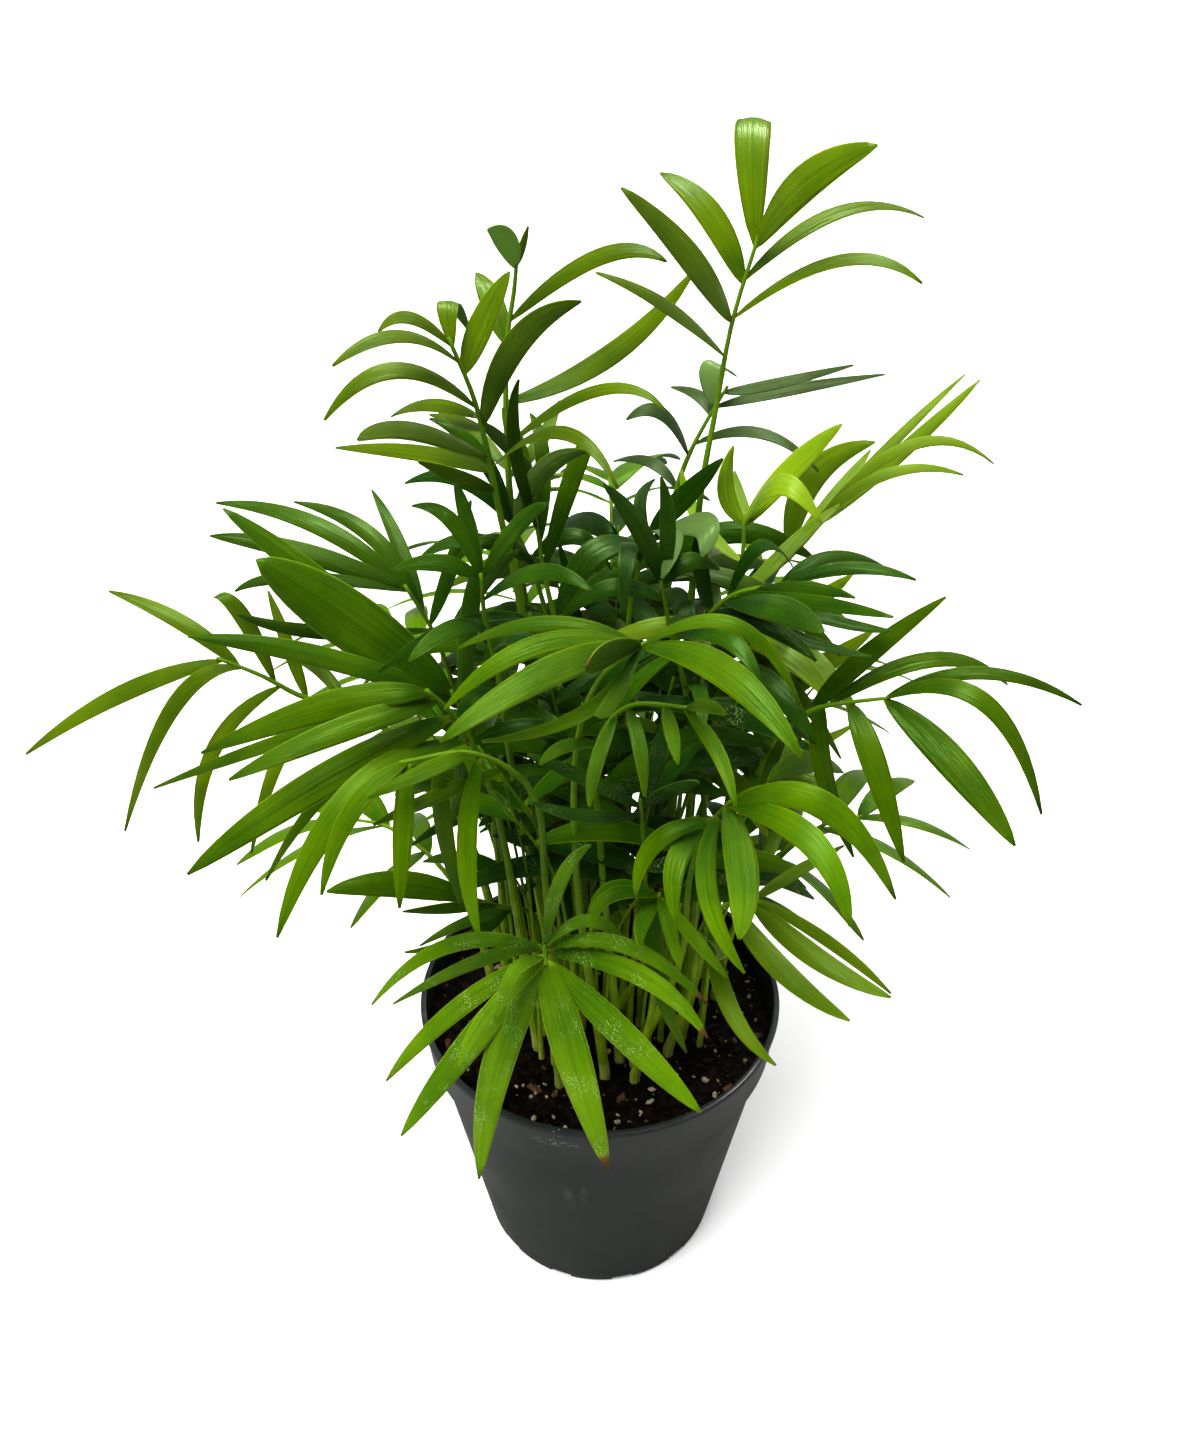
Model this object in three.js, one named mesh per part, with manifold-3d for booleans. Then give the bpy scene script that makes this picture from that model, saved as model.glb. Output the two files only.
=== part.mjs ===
// A potted parlour palm: a clump of young palm stems in a 6 inch nursery pot of dark peat.
// Millimetres, +Z up. The origin is the middle of the pot's underside; -Y is the front of the plant.
import * as THREE from "three";
import { mergeVertices } from "three/addons/utils/BufferGeometryUtils.js";
import Module from "manifold-3d";

const wasm = await Module();
wasm.setup();

// ---- Pot -------------------------------------------------------------------------------------
const potHeight = 130;
const rimRadius = 76;
const collarHeight = 20; // the plain band below the rim
const collarFootRadius = 73.5;
const bodyTopRadius = 71; // the wall steps in under the collar
const baseRadius = 53;
const potWall = 1.5;
const lipWidth = 2.6;
const lipDrop = 1.6; // how far the rolled lip reaches down
const lipRoll = 1;
const stepDrop = 0.8; // the step under the collar slants this much
const heelChamfer = 1.6;
const floorThickness = 2;
const potSides = 40;

const slotCount = 12; // drainage slots through the heel, between the feet
const slotWidth = 9.5;
const slotHeight = 3.4;
const slotDepth = 6;
const slotTurn = THREE.MathUtils.degToRad(10.7); // the first slot stands this far right of the front

// ---- Soil ------------------------------------------------------------------------------------
const soilLevel = 118; // 12 mm under the rim
const soilGap = 0.3;
const soilClearance = 0.5; // to the wall, at the corners of its many-sided outline
const soilRoughness = 1.1; // the surface rises and falls this much
const soilFade = 10; // and lies level this close to the wall
const soilSides = 30;
const soilRings = [24, 48]; // radii of the rings that shape the surface
const soilWaveX = 0.31; // the humps' turns in radians a millimetre, across, along and slantwise
const soilWaveY = 0.27;
const soilWaveSlant = 0.43;
const soilWaveStart = 1.2;
const slantShare = 0.6;

// ---- Stalks and blades -----------------------------------------------------------------------
const stalkFootRadius = 2;
const stalkTipRadius = 0.8;
const stalkSides = 5;
const stalkSteps = 6;
const stalkFootLevel = 106; // the stalks stand 12 mm deep in the soil
const stalkStart = 121; // just over the soil, where a stalk starts to lean
const holeSides = 5;
const holeRadius = (stalkFootRadius + 0.3) / Math.cos(Math.PI / holeSides); // to the corners
const holeTop = soilLevel + 4;

const bladeThickness = 0.8;
const rootDepth = 0.7; // a blade starts this far behind its stalk's middle line
const longBlade = 80; // blades over this length get one more step
const longBladeSteps = [0, 0.15, 0.45, 0.76, 1];
const shortBladeSteps = [0, 0.22, 0.66, 1];
const widestPower = 0.85; // below 1 moves a blade's widest place towards its root
const fullness = 0.62; // below 1 fills out its outline
const deepestRoot = 0.975; // the last pair grows from just inside the stalk's end

// ---- Room between fronds ---------------------------------------------------------------------
const cell = 1.6; // the space is shared out in cells of this size
const sampleStep = 1.2;
const stalkSamples = 200;
const stalkSpread = 2; // cells kept free on each side of a stalk's middle line
const bladeSpread = 1;
const roomLow = new THREE.Vector3(-230, -160, 112);
const roomHigh = new THREE.Vector3(215, 175, 475);
const swings = [0, 4, -4, 8, -8, 12, -12, 17, -17, 23, -23, 30, -30]; // back and down, or forward and up
const swingWay = new THREE.Vector3(0, 0.84, -0.54);
const shortenings = [1, 0.85, 0.7, 0.55]; // a blade that finds no room stays shorter

// ---- Finishes --------------------------------------------------------------------------------
const midGreen = 0x4c7a14;
const darkGreen = 0x2b4d12;
const blueGreen = 0x2f4a2a;
const limeGreen = 0x7ea62c;
const potBlack = 0x353736;
const peatBrown = 0x1d1511;
const leafRoughness = 0.4;
const potRoughness = 0.45;
const peatRoughness = 0.95;
const lightHeight = 0.9; // blades turn their faces to light from above
const lightLean = 0.45; // and a little from their own side
const frontLean = 0.7; // the fronds at hand turn further to the front
const frontHeight = 0.71;
const frontLight = [0, -frontLean, frontHeight];
const lowLightHeight = 0.3; // a blade that points at its light turns its face to a lower one
const leastCross = 0.5;

// ---- Filling fronds --------------------------------------------------------------------------
const archPoints = [
  [0.12, 0.45],
  [0.38, 0.8],
  [0.7, 0.98],
  [1, 1],
]; // shares of a stalk's reach and height
const firstPair = 0.52; // where the leaflets begin along a stalk
const pairSpan = 0.43;
const pairOffset = 0.025; // the two of a pair stand a little apart
const openFirst = 62; // degrees between the stalk's heading and its first leaflets
const openLess = 34; // and how much less at its end
const openVaries = 10;
const shortestBlade = 0.8; // shares of the frond's blade length
const middleLonger = 0.25;
const lengthVaries = 0.15;
const leastDroop = 0.1; // shares of the leaflet's own length
const droopVaries = 0.25;
const archShare = 0.13;
const leastWidth = 8;
const widthVaries = 3;
const drawSeed = 8710;
const drawFactor = 16807;
const drawLimit = 2147483647;

// The fronds that shape the plant's outline. A stalk rises from its foot [x, y] in the soil through
// the points of its centreline. Each leaflet is [place along the stalk from 0 to 1, tip x, tip y,
// tip z, width, rise of its middle over a straight line, sideways bow of its middle].
const mainFronds = [
  {
    name: "frond_top_right",
    colour: midGreen,
    foot: [24, 6],
    stalk: [[32, 10, 309], [34, 14, 348], [38, 18, 376], [42, 22, 402], [49, 26, 427]],
    leaflets: [
      [0.99, 56, 74, 442, 11.5, 23, -4],
      [0.98, 77, 0, 456, 12, 4, -4],
      [0.89, 19, 46, 442, 9, 5, 2],
      [0.8, 6, -6, 446, 9.5, 1, 3],
      [0.72, -1, -22, 427, 5.5, 3, 1],
      [0.9, 107, 56, 427, 5, 11, 0],
      [0.81, 96, 4, 418, 4.5, 12, 3],
    ],
  },
  {
    name: "frond_top_right_back",
    colour: blueGreen,
    foot: [32, 26],
    stalk: [[25, 40, 310], [28, 46, 336], [32, 48, 348], [37, 50, 358], [45, 52, 372]],
    leaflets: [
      [0.89, 49, 60, 373, 9, 9, -5],
      [0.97, 88, 50, 380, 4.5, -2, -6],
      [0.9, 107, 82, 367, 4.5, 0, -5],
      [0.68, 76, 30, 349, 4.5, 9, 1],
      [0.86, 26, 70, 366, 5, 2, 3],
      [0.6, 9, 34, 366, 6, 9, 1],
      [0.4, 5, 66, 339, 4.5, 5, 2],
    ],
  },
  {
    name: "frond_upper_left",
    colour: midGreen,
    foot: [-16, 8],
    stalk: [[-27, -6, 318], [-32, -8, 349], [-35, -10, 372], [-38, -12, 389], [-44, -14, 407]],
    leaflets: [
      [1, -62, -26, 412, 4.5, 6, -1],
      [0.97, -40, 8, 403, 6.5, 11, -3],
      [0.92, -71, -48, 409, 5.5, 8, 1],
      [0.76, -78, -36, 390, 6.5, 13, -1],
      [0.72, -68, 14, 374, 4.5, 4, -1],
      [0.67, -52, 12, 376, 4.5, 0, 0],
      [0.57, -64, -60, 393, 8.5, 6, -3],
      [0.53, -90, 26, 359, 6, 2, 5],
      [0.47, -50, -50, 383, 4.5, 0, 0],
      [0.88, -27, 6, 421, 8, 1, -1],
      [0.68, -5, -46, 425, 7.5, 7, -3],
      [0.54, 5, -52, 376, 4.5, 14, 3],
      [0.7, -21, 26, 347, 4.5, 1, 0],
    ],
  },
  {
    name: "frond_spear_left",
    colour: midGreen,
    foot: [-6, 30],
    stalk: [[-31, 30, 331], [-32, 32, 359], [-31, 36, 391], [-28, 38, 408], [-27, 40, 416]],
    leaflets: [
      [1, -23, 41, 427, 2.5, 0, 0],
      [0.96, -35, 30, 428, 7.5, 3, 1],
      [0.6, -42, 58, 409, 8, 3, 0],
      [0.68, 21, 28, 419, 6.5, 11, 4],
      [0.48, 33, 66, 409, 8, -6, 4],
      [0.39, 21, 8, 378, 4.5, 13, 5],
      [0.32, -63, 66, 357, 5.5, 4, 1],
      [0.3, -15, 70, 361, 5.5, -1, 2],
    ],
  },
  {
    name: "frond_young_centre",
    colour: midGreen,
    foot: [-4, 14],
    stalk: [[-14, 8, 290], [-19, 12, 316], [-22, 14, 338]],
    leaflets: [
      [0.94, -24, 0, 391, 4.5, 6, -5],
      [0.86, -25, 28, 378, 5.5, 7, 3],
      [0.72, -3, 12, 364, 7, 15, 3],
      [0.69, -47, -10, 334, 5.5, 10, 0],
    ],
  },
  {
    name: "frond_left_arm",
    colour: midGreen,
    foot: [-34, -8],
    stalk: [[-54, -18, 243], [-77, -22, 279], [-100, -26, 292], [-111, -28, 301], [-124, -30, 309]],
    leaflets: [
      [0.99, -184, -50, 285, 6, 5, 0],
      [0.9, -159, -18, 327, 5.5, 3, 2],
      [0.89, -155, -58, 260, 5.5, 18, 1],
      [0.7, -131, -60, 257, 5.5, 7, -7],
      [0.73, -124, -22, 327, 5.5, 10, 0],
      [0.58, -113, 0, 318, 4.5, 0, 0],
      [0.54, -116, -56, 249, 5, 9, -1],
      [0.47, -113, 6, 289, 4.5, 5, 2],
    ],
  },
  {
    name: "frond_left_upper",
    colour: darkGreen,
    foot: [-30, 14],
    stalk: [[-46, 8, 242], [-53, 8, 273], [-59, 6, 299], [-67, 4, 318]],
    leaflets: [
      [1, -127, -6, 341, 7.5, 4, -1],
      [0.97, -134, 26, 339, 6.5, 8, 3],
      [0.89, -109, 34, 336, 6, 7, 6],
      [0.97, -116, -24, 330, 4.5, 5, -8],
      [0.76, -114, -36, 329, 5, -4, -7],
      [0.78, -45, 26, 340, 5.5, 1, 1],
      [0.67, -26, -8, 335, 5, 5, 1],
      [0.84, -84, 50, 334, 5.5, 2, 1],
    ],
  },
  {
    name: "frond_left_broad",
    colour: darkGreen,
    foot: [-38, 2],
    stalk: [[-41, -8, 235], [-46, -12, 269], [-51, -16, 288]],
    leaflets: [
      [1, -107, -26, 342, 19.5, 5, -4],
      [0.97, -119, 2, 344, 9, 7, -5],
      [0.91, -124, -50, 328, 7.5, 5, -1],
      [0.82, -38, -22, 340, 6.5, 7, 0],
    ],
  },
  {
    name: "frond_left_low",
    colour: midGreen,
    foot: [-26, -22],
    stalk: [[-34, -40, 246], [-39, -52, 286], [-45, -60, 307], [-51, -66, 319]],
    leaflets: [
      [1, -114, -84, 309, 9, 6, 5],
      [0.88, -100, -104, 314, 7.5, 3, 1],
      [0.73, -112, -116, 291, 10, 3, -2],
      [0.58, -86, -130, 281, 8.5, 15, -5],
      [0.94, -143, -56, 276, 4.5, 1, -2],
      [0.69, -102, -86, 263, 4.5, 11, -3],
    ],
  },
  {
    name: "frond_left_hanging",
    colour: midGreen,
    foot: [-18, -30],
    stalk: [[-19, -48, 231], [-22, -62, 280], [-38, -74, 302], [-57, -86, 307]],
    leaflets: [
      [1, -56, -114, 277, 6, 2, 0],
      [0.76, -63, -104, 308, 5, 2, 3],
      [0.62, -64, -98, 294, 4.5, 0, -1],
      [0.72, -34, -116, 268, 6, -2, -4],
      [0.87, -43, -84, 250, 5.5, 2, -2],
      [0.81, -48, -70, 271, 4.5, 0, 3],
    ],
  },
  {
    name: "frond_left_bottom",
    colour: midGreen,
    foot: [-20, -4],
    stalk: [[-24, -6, 151], [-26, -14, 183], [-37, -34, 206], [-46, -44, 219]],
    leaflets: [
      [1, -90, -66, 241, 9.5, 5, 0],
      [0.74, -63, -78, 243, 5.5, 0, 0],
      [0.61, -72, -14, 167, 4.5, 4, 1],
    ],
  },
  {
    name: "frond_front_bright",
    colour: midGreen,
    foot: [2, -38],
    stalk: [[-8, -46, 227], [-7, -52, 292], [0, -58, 318], [13, -66, 335]],
    leaflets: [
      [0.99, -41, -100, 334, 6, 10, -2],
      [1, -39, -124, 340, 8.5, 6, 1],
      [1, -3, -116, 357, 9.5, -1, -2],
      [0.99, -30, -112, 332, 4.5, -6, 6],
      [1, 50, -122, 334, 9, 9, 1],
      [0.98, -41, -66, 333, 4.5, 8, 0],
      [1, 58, -74, 318, 4.5, 17, 3],
      [0.98, -1, -112, 340, 4.5, -7, -2],
    ],
  },
  {
    name: "frond_front_inner",
    colour: midGreen,
    foot: [8, -30],
    stalk: [[0, -40, 242], [-1, -48, 287], [9, -56, 307], [27, -68, 314]],
    leaflets: [
      [0.74, 13, -86, 295, 4.5, 2, 1],
      [0.9, 22, -88, 308, 4.5, 1, 0],
      [0.97, 37, -104, 305, 4.5, 2, 2],
      [0.99, 35, -84, 322, 4.5, 2, 0],
      [0.62, 26, -30, 312, 4.5, 2, -2],
      [0.68, -3, -92, 296, 4.5, -1, -2],
    ],
  },
  {
    name: "frond_centre_back",
    colour: darkGreen,
    foot: [4, 4],
    stalk: [[11, 0, 274], [10, 4, 305], [14, 6, 327], [17, 8, 337]],
    leaflets: [
      [0.99, 40, 8, 362, 7.5, -1, -1],
      [0.95, 19, 28, 347, 4.5, 2, -4],
      [0.86, -14, -20, 318, 9.5, 10, -3],
      [0.74, 7, -40, 328, 6, 15, -1],
      [0.97, 19, -30, 337, 7.5, 7, 5],
      [0.91, 32, -22, 341, 10.5, 9, 8],
      [0.54, -15, 34, 321, 5.5, -10, -3],
    ],
  },
  {
    name: "frond_yellow_green",
    colour: limeGreen,
    foot: [36, -4],
    stalk: [[42, 2, 264], [48, 8, 302], [49, 10, 325], [49, 12, 339]],
    leaflets: [
      [0.99, 44, 14, 364, 6.5, -2, -4],
      [0.96, 81, 24, 368, 8, 2, -1],
      [0.98, 71, -10, 347, 8.5, 14, -2],
      [0.74, 29, 46, 343, 5, -2, -4],
      [0.58, 88, 46, 330, 5.5, 2, 0],
    ],
  },
  {
    name: "frond_right_back_light",
    colour: limeGreen,
    foot: [44, 18],
    stalk: [[56, 26, 258], [59, 36, 287], [68, 46, 305], [84, 56, 319]],
    leaflets: [
      [1, 145, 88, 363, 6, 0, 1],
      [0.94, 145, 108, 359, 4.5, 0, -2],
      [0.91, 146, 58, 341, 4.5, 21, 0],
      [0.86, 132, 44, 343, 4.5, 13, -2],
      [0.81, 96, 34, 359, 10, 8, -8],
      [0.73, 108, 94, 333, 6, 3, 2],
      [0.63, 54, 92, 325, 6, 4, -2],
    ],
  },
  {
    name: "frond_right_dark",
    colour: darkGreen,
    foot: [22, -10],
    stalk: [[29, -6, 269], [34, -10, 308], [43, -12, 322], [62, -14, 328]],
    leaflets: [
      [1, 100, -24, 334, 4.5, 5, 0],
      [0.96, 98, 8, 323, 4.5, 7, -2],
      [0.86, 77, -42, 337, 4.5, 2, 1],
      [0.77, 85, -58, 339, 5, 1, 1],
      [0.82, 93, -30, 319, 4.5, -3, 4],
      [0.71, 64, -64, 337, 10, 3, 2],
      [0.68, 86, -36, 313, 4.5, -3, 2],
      [0.62, 35, 10, 339, 5.5, 2, -3],
      [0.74, 66, 2, 325, 5, 14, -1],
    ],
  },
  {
    name: "frond_right_arm",
    colour: midGreen,
    foot: [34, -18],
    stalk: [[47, -20, 216], [57, -24, 264], [70, -28, 287], [83, -30, 292], [95, -32, 295]],
    leaflets: [
      [0.61, 111, -22, 327, 7, -1, -4],
      [0.69, 141, -12, 288, 6, 14, 2],
      [1, 156, -38, 296, 4.5, 11, -2],
      [0.99, 139, -66, 273, 6.5, 21, 3],
      [0.98, 125, -84, 275, 10.5, 3, 1],
      [0.67, 84, -58, 249, 7, 7, -6],
      [0.8, 95, -76, 262, 8.5, 8, -2],
      [0.52, 60, -34, 241, 5, -4, -5],
    ],
  },
  {
    name: "frond_right_hanging",
    colour: midGreen,
    foot: [14, -32],
    stalk: [[30, -40, 185], [31, -48, 231], [34, -58, 260], [40, -70, 281]],
    leaflets: [
      [0.78, 23, -96, 255, 7, 5, -5],
      [0.89, 42, -114, 252, 6.5, 0, -7],
      [0.97, 38, -124, 275, 10, -1, 3],
      [0.99, 70, -116, 272, 8.5, 9, 6],
      [0.99, 90, -90, 259, 8.5, 18, 2],
      [0.84, 11, -84, 255, 6, 6, -6],
      [0.94, 93, -66, 248, 6, 17, -3],
    ],
  },
  {
    name: "frond_speckled_small",
    colour: darkGreen,
    foot: [4, -13],
    stalk: [[18, -30, 180], [16, -40, 224], [13, -58, 273]],
    leaflets: [
      [0.97, -22, -66, 296, 5, 1, 0],
      [0.94, -21, -84, 292, 4.5, -3, -1],
      [1, 19, -70, 310, 6, 0, 1],
      [0.99, 33, -44, 286, 5, 1, 0],
      [0.97, 28, -90, 303, 5.5, 2, 2],
    ],
  },
  {
    name: "frond_right_back_low",
    colour: limeGreen,
    foot: [36, 10],
    stalk: [[41, 10, 170], [42, 14, 209], [39, 18, 235], [44, 22, 251]],
    leaflets: [
      [0.99, 91, 34, 306, 10.5, 3, -3],
      [0.94, 96, 2, 302, 9.5, -3, -1],
      [0.57, 87, -6, 238, 6, 10, 1],
      [0.46, 104, 24, 189, 6, -13, -1],
    ],
  },
  {
    name: "frond_right_low",
    colour: midGreen,
    foot: [28, -26],
    stalk: [[35, -34, 163], [37, -40, 200], [44, -46, 217], [55, -50, 224]],
    leaflets: [
      [0.99, 102, -66, 194, 4.5, 3, 1],
      [0.94, 96, -84, 211, 8, -4, -1],
      [0.8, 80, -96, 213, 8, -4, -2],
      [0.64, 58, -96, 192, 6.5, -7, -5],
      [0.49, 37, -84, 227, 4.5, -2, 5],
      [1, 87, -32, 233, 4.5, 0, -1],
    ],
  },
  {
    name: "frond_bottom_front",
    colour: midGreen,
    foot: [-16, -42],
    stalk: [[-18, -46, 148], [-19, -54, 189], [-19, -64, 215], [-18, -78, 220]],
    leaflets: [
      [1, -42, -104, 143, 11.5, 7, -4],
      [0.97, 3, -106, 150, 12.5, 7, -2],
      [0.95, -68, -100, 161, 9.5, 2, -1],
      [0.9, -73, -90, 177, 7, 4, -3],
      [0.68, -78, -76, 199, 5.5, 15, -2],
      [0.93, -33, -104, 221, 4.5, 9, -1],
      [0.95, 34, -100, 173, 9.5, -2, 2],
      [0.66, 36, -88, 196, 7, 9, 5],
      [0.7, 37, -74, 197, 5.5, 14, 0],
      [0.75, 13, -60, 204, 4.5, 15, 1],
      [0.75, -3, -64, 259, 5, 7, -2],
      [0.7, -77, -50, 172, 5, 8, 5],
      [0.97, -44, -112, 210, 5, 1, -4],
    ],
  },
  {
    name: "frond_right_front_small",
    colour: midGreen,
    foot: [14, -40],
    stalk: [[20, -46, 170], [19, -54, 213], [20, -60, 235]],
    leaflets: [
      [0.94, 13, -80, 230, 5.5, 1, -2],
      [0.97, 26, -86, 225, 4.5, 1, 0],
      [0.97, 40, -74, 217, 4.5, 0, 0],
      [0.96, 31, -74, 171, 7, 4, -6],
      [0.99, -4, -68, 233, 4.5, 8, -3],
      [1, -3, -80, 236, 4.5, 8, -5],
    ],
  },
  {
    name: "frond_inner_left",
    colour: darkGreen,
    foot: [-12, -14],
    stalk: [[-31, -24, 264], [-33, -30, 301], [-36, -34, 325], [-36, -38, 343]],
    leaflets: [
      [0.99, -62, -44, 347, 5.5, 4, 1],
      [0.97, -57, -26, 360, 5, 7, 2],
      [0.99, -45, -18, 366, 5, 2, 0],
      [0.99, -15, -44, 368, 5.5, 5, 1],
      [0.86, -2, -58, 347, 5.5, 8, 1],
      [0.72, -55, -68, 330, 6.5, 5, 1],
      [0.62, -12, -68, 320, 5, 10, 2],
      [0.46, -46, -58, 294, 5, 7, -2],
    ],
  },
  {
    name: "frond_inner_right",
    colour: darkGreen,
    foot: [27, -3],
    stalk: [[33, -14, 249], [29, -18, 289], [23, -22, 315], [19, -26, 335]],
    leaflets: [
      [0.99, 47, -30, 346, 6, 8, -1],
      [0.9, -10, -46, 335, 6, 7, -1],
      [0.71, 49, -54, 314, 6.5, 9, 2],
      [0.66, 0, -58, 314, 5.5, 7, 0],
      [0.51, 31, -62, 297, 5, 9, 2],
    ],
  },
  {
    name: "frond_inner_back",
    colour: darkGreen,
    foot: [-14, 22],
    stalk: [[-14, 14, 265], [-19, 18, 297], [-25, 20, 320], [-31, 22, 334]],
    leaflets: [
      [1, -69, 34, 343, 6, 9, 2],
      [0.99, -58, 38, 363, 5.5, 7, 3],
      [0.75, 4, 0, 329, 6, 11, 2],
      [0.74, -62, 8, 326, 6, 8, -1],
      [0.54, 6, -6, 298, 5.5, 12, 3],
      [0.5, -43, -2, 296, 5.5, 10, -2],
    ],
  },
];

// The fronds that fill the back and sides. Each one arches outwards on its own heading, in degrees
// anticlockwise from the right. Reach and height place its tip; pairs is its number of leaflet pairs.
const fillingFronds = [
  { name: "frond_back_1", heading: 92, foot: [6, 40], reach: 62, height: 318, pairs: 5, blade: 58 },
  { name: "frond_back_2", heading: 66, foot: [16, 34], reach: 98, height: 262, pairs: 4, blade: 64 },
  { name: "frond_back_3", heading: 116, foot: [-8, 44], reach: 100, height: 270, pairs: 4, blade: 64 },
  { name: "frond_back_4", heading: 44, foot: [32, 38], reach: 84, height: 236, pairs: 4, blade: 58 },
  { name: "frond_back_5", heading: 140, foot: [-24, 34], reach: 92, height: 252, pairs: 4, blade: 58 },
  { name: "frond_back_6", heading: 84, foot: [18, 46], reach: 74, height: 196, pairs: 4, blade: 58 },
  { name: "frond_back_7", heading: 122, foot: [-22, 46], reach: 66, height: 190, pairs: 4, blade: 56 },
  { name: "frond_side_right", heading: 14, foot: [50, 6], reach: 58, height: 206, pairs: 3, blade: 54 },
  { name: "frond_side_left", heading: 170, foot: [-48, 16], reach: 58, height: 200, pairs: 3, blade: 54 },
];

// ---- Solids ----------------------------------------------------------------------------------

// A closed geometry as a solid that can be joined and cut.
function toSolid(geometry) {
  const bare = geometry.index ? geometry.clone() : geometry;
  bare.deleteAttribute("normal");
  bare.deleteAttribute("uv");
  const merged = mergeVertices(bare);
  return new wasm.Manifold(
    new wasm.Mesh({
      numProp: 3,
      vertProperties: new Float32Array(merged.attributes.position.array),
      triVerts: new Uint32Array(merged.index.array),
    }),
  );
}

// A solid back as a geometry. Only its largest body stays.
function toGeometry(solid) {
  const bodies = solid.decompose().sort((a, b) => b.volume() - a.volume());
  const mesh = bodies[0].getMesh();
  const geometry = new THREE.BufferGeometry();
  geometry.setAttribute("position", new THREE.BufferAttribute(mesh.vertProperties.slice(), 3));
  geometry.setIndex(new THREE.BufferAttribute(mesh.triVerts.slice(), 1));
  geometry.computeVertexNormals();
  return geometry;
}

// A closed skin over rings of points. The ring's second half is split the other way round, so that
// the two faces of a flat blade fold along the same lines. A blade starts and ends in an edge, which
// is a ring of two points, one over the other.
function loft(rings) {
  const faces = [];
  const sides = Math.max(...rings.map((ring) => ring.length));
  let first = 0;
  if (rings[0].length === sides) for (let k = 1; k < sides - 1; k++) faces.push(0, k + 1, k);
  for (let i = 0; i < rings.length - 1; i++) {
    const a = first;
    const b = a + rings[i].length;
    first = b;
    if (rings[i].length < sides) {
      faces.push(a, b + 1, b, a, b + 2, b + 1, a, a + 1, b + 2);
      faces.push(a + 1, b + 3, b + 2, a + 1, b, b + 3, a + 1, a, b);
      continue;
    }
    if (rings[i + 1].length < sides) {
      faces.push(a, a + 1, b, a + 1, a + 2, b + 1, a + 1, b + 1, b);
      faces.push(a + 2, a + 3, b + 1, a + 3, a, b, a + 3, b, b + 1);
      continue;
    }
    for (let k = 0; k < sides; k++) {
      const next = (k + 1) % sides;
      if (k < sides / 2) faces.push(a + k, a + next, b + next, a + k, b + next, b + k);
      else faces.push(a + k, a + next, b + k, a + next, b + next, b + k);
    }
  }
  const isOpen = rings[rings.length - 1].length === sides;
  if (isOpen) for (let k = 1; k < sides - 1; k++) faces.push(first, first + k, first + k + 1);
  const geometry = new THREE.BufferGeometry();
  geometry.setFromPoints(rings.flat());
  geometry.setIndex(faces);
  return geometry;
}

// The pot's inner wall from the floor up, as [radius, height].
const collarFoot = potHeight - collarHeight;
const innerWall = [
  [baseRadius - potWall, floorThickness],
  [bodyTopRadius - potWall, collarFoot - stepDrop],
  [collarFootRadius - potWall, collarFoot + potWall],
  [rimRadius - lipWidth, potHeight],
];

function buildPot() {
  const profile = [
    [0, 0],
    [baseRadius - heelChamfer, 0],
    [baseRadius, heelChamfer],
    [bodyTopRadius, collarFoot - stepDrop],
    [collarFootRadius, collarFoot],
    [rimRadius - lipRoll, potHeight - lipDrop - lipRoll / 2],
    [rimRadius, potHeight - lipDrop],
    [rimRadius - lipRoll / 2, potHeight],
    ...innerWall.toReversed(),
    [0, floorThickness],
  ].map(([r, z]) => new THREE.Vector2(r, z));
  let pot = toSolid(new THREE.LatheGeometry(profile, potSides).rotateX(Math.PI / 2));
  for (let i = 0; i < slotCount; i++) {
    const slot = new THREE.BoxGeometry(slotWidth, slotDepth * 2, slotHeight * 2);
    slot.translate(0, -baseRadius, 0);
    slot.rotateZ(slotTurn + (i * 2 * Math.PI) / slotCount);
    pot = pot.subtract(toSolid(slot));
  }
  return toGeometry(pot);
}

// The inner wall's radius at a height.
function innerRadius(z) {
  const i = innerWall.findIndex(([, top], k) => k > 0 && z <= top);
  const [lowRadius, low] = innerWall[i - 1];
  const [highRadius, high] = innerWall[i];
  return THREE.MathUtils.mapLinear(z, low, high, lowRadius, highRadius);
}

// The peat fills the pot to its level. Its top is a little uneven, and each stalk has a plain hole.
function buildSoil(feet) {
  const levels = [floorThickness + soilGap, collarFoot - stepDrop, collarFoot + potWall, soilLevel];
  const wall = levels.map((z) => [innerRadius(z) - soilClearance, z]);
  const edge = wall[wall.length - 1][0];
  const profile = [
    [0, levels[0]],
    ...wall,
    ...soilRings.map((r) => [r, soilLevel]).reverse(),
    [0, soilLevel],
  ].map(([r, z]) => new THREE.Vector2(r, z));
  const geometry = new THREE.LatheGeometry(profile, soilSides).rotateX(Math.PI / 2);
  const p = geometry.attributes.position;
  for (let i = 0; i < p.count; i++) {
    if (p.getZ(i) < soilLevel) continue;
    const x = p.getX(i);
    const y = p.getY(i);
    const fade = THREE.MathUtils.clamp((edge - Math.hypot(x, y)) / soilFade, 0, 1);
    const humps = Math.sin(x * soilWaveX + soilWaveStart) * Math.cos(y * soilWaveY);
    const slant = slantShare * Math.sin((x + y) * soilWaveSlant);
    p.setZ(i, soilLevel + soilRoughness * (humps + slant) * fade);
  }
  let soil = toSolid(geometry);
  for (const [x, y] of feet) {
    const bottom = ringAround(new THREE.Vector3(x, y, stalkFootLevel - soilGap), holeRadius, holeSides);
    const top = ringAround(new THREE.Vector3(x, y, holeTop), holeRadius, holeSides);
    soil = soil.subtract(toSolid(loft([bottom, top])));
  }
  return toGeometry(soil);
}

// A level ring of points.
function ringAround(centre, radius, sides) {
  return Array.from({ length: sides }, (_, k) => {
    const turn = (k * 2 * Math.PI) / sides;
    return new THREE.Vector3(Math.cos(turn), Math.sin(turn), 0).multiplyScalar(radius).add(centre);
  });
}

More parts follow.
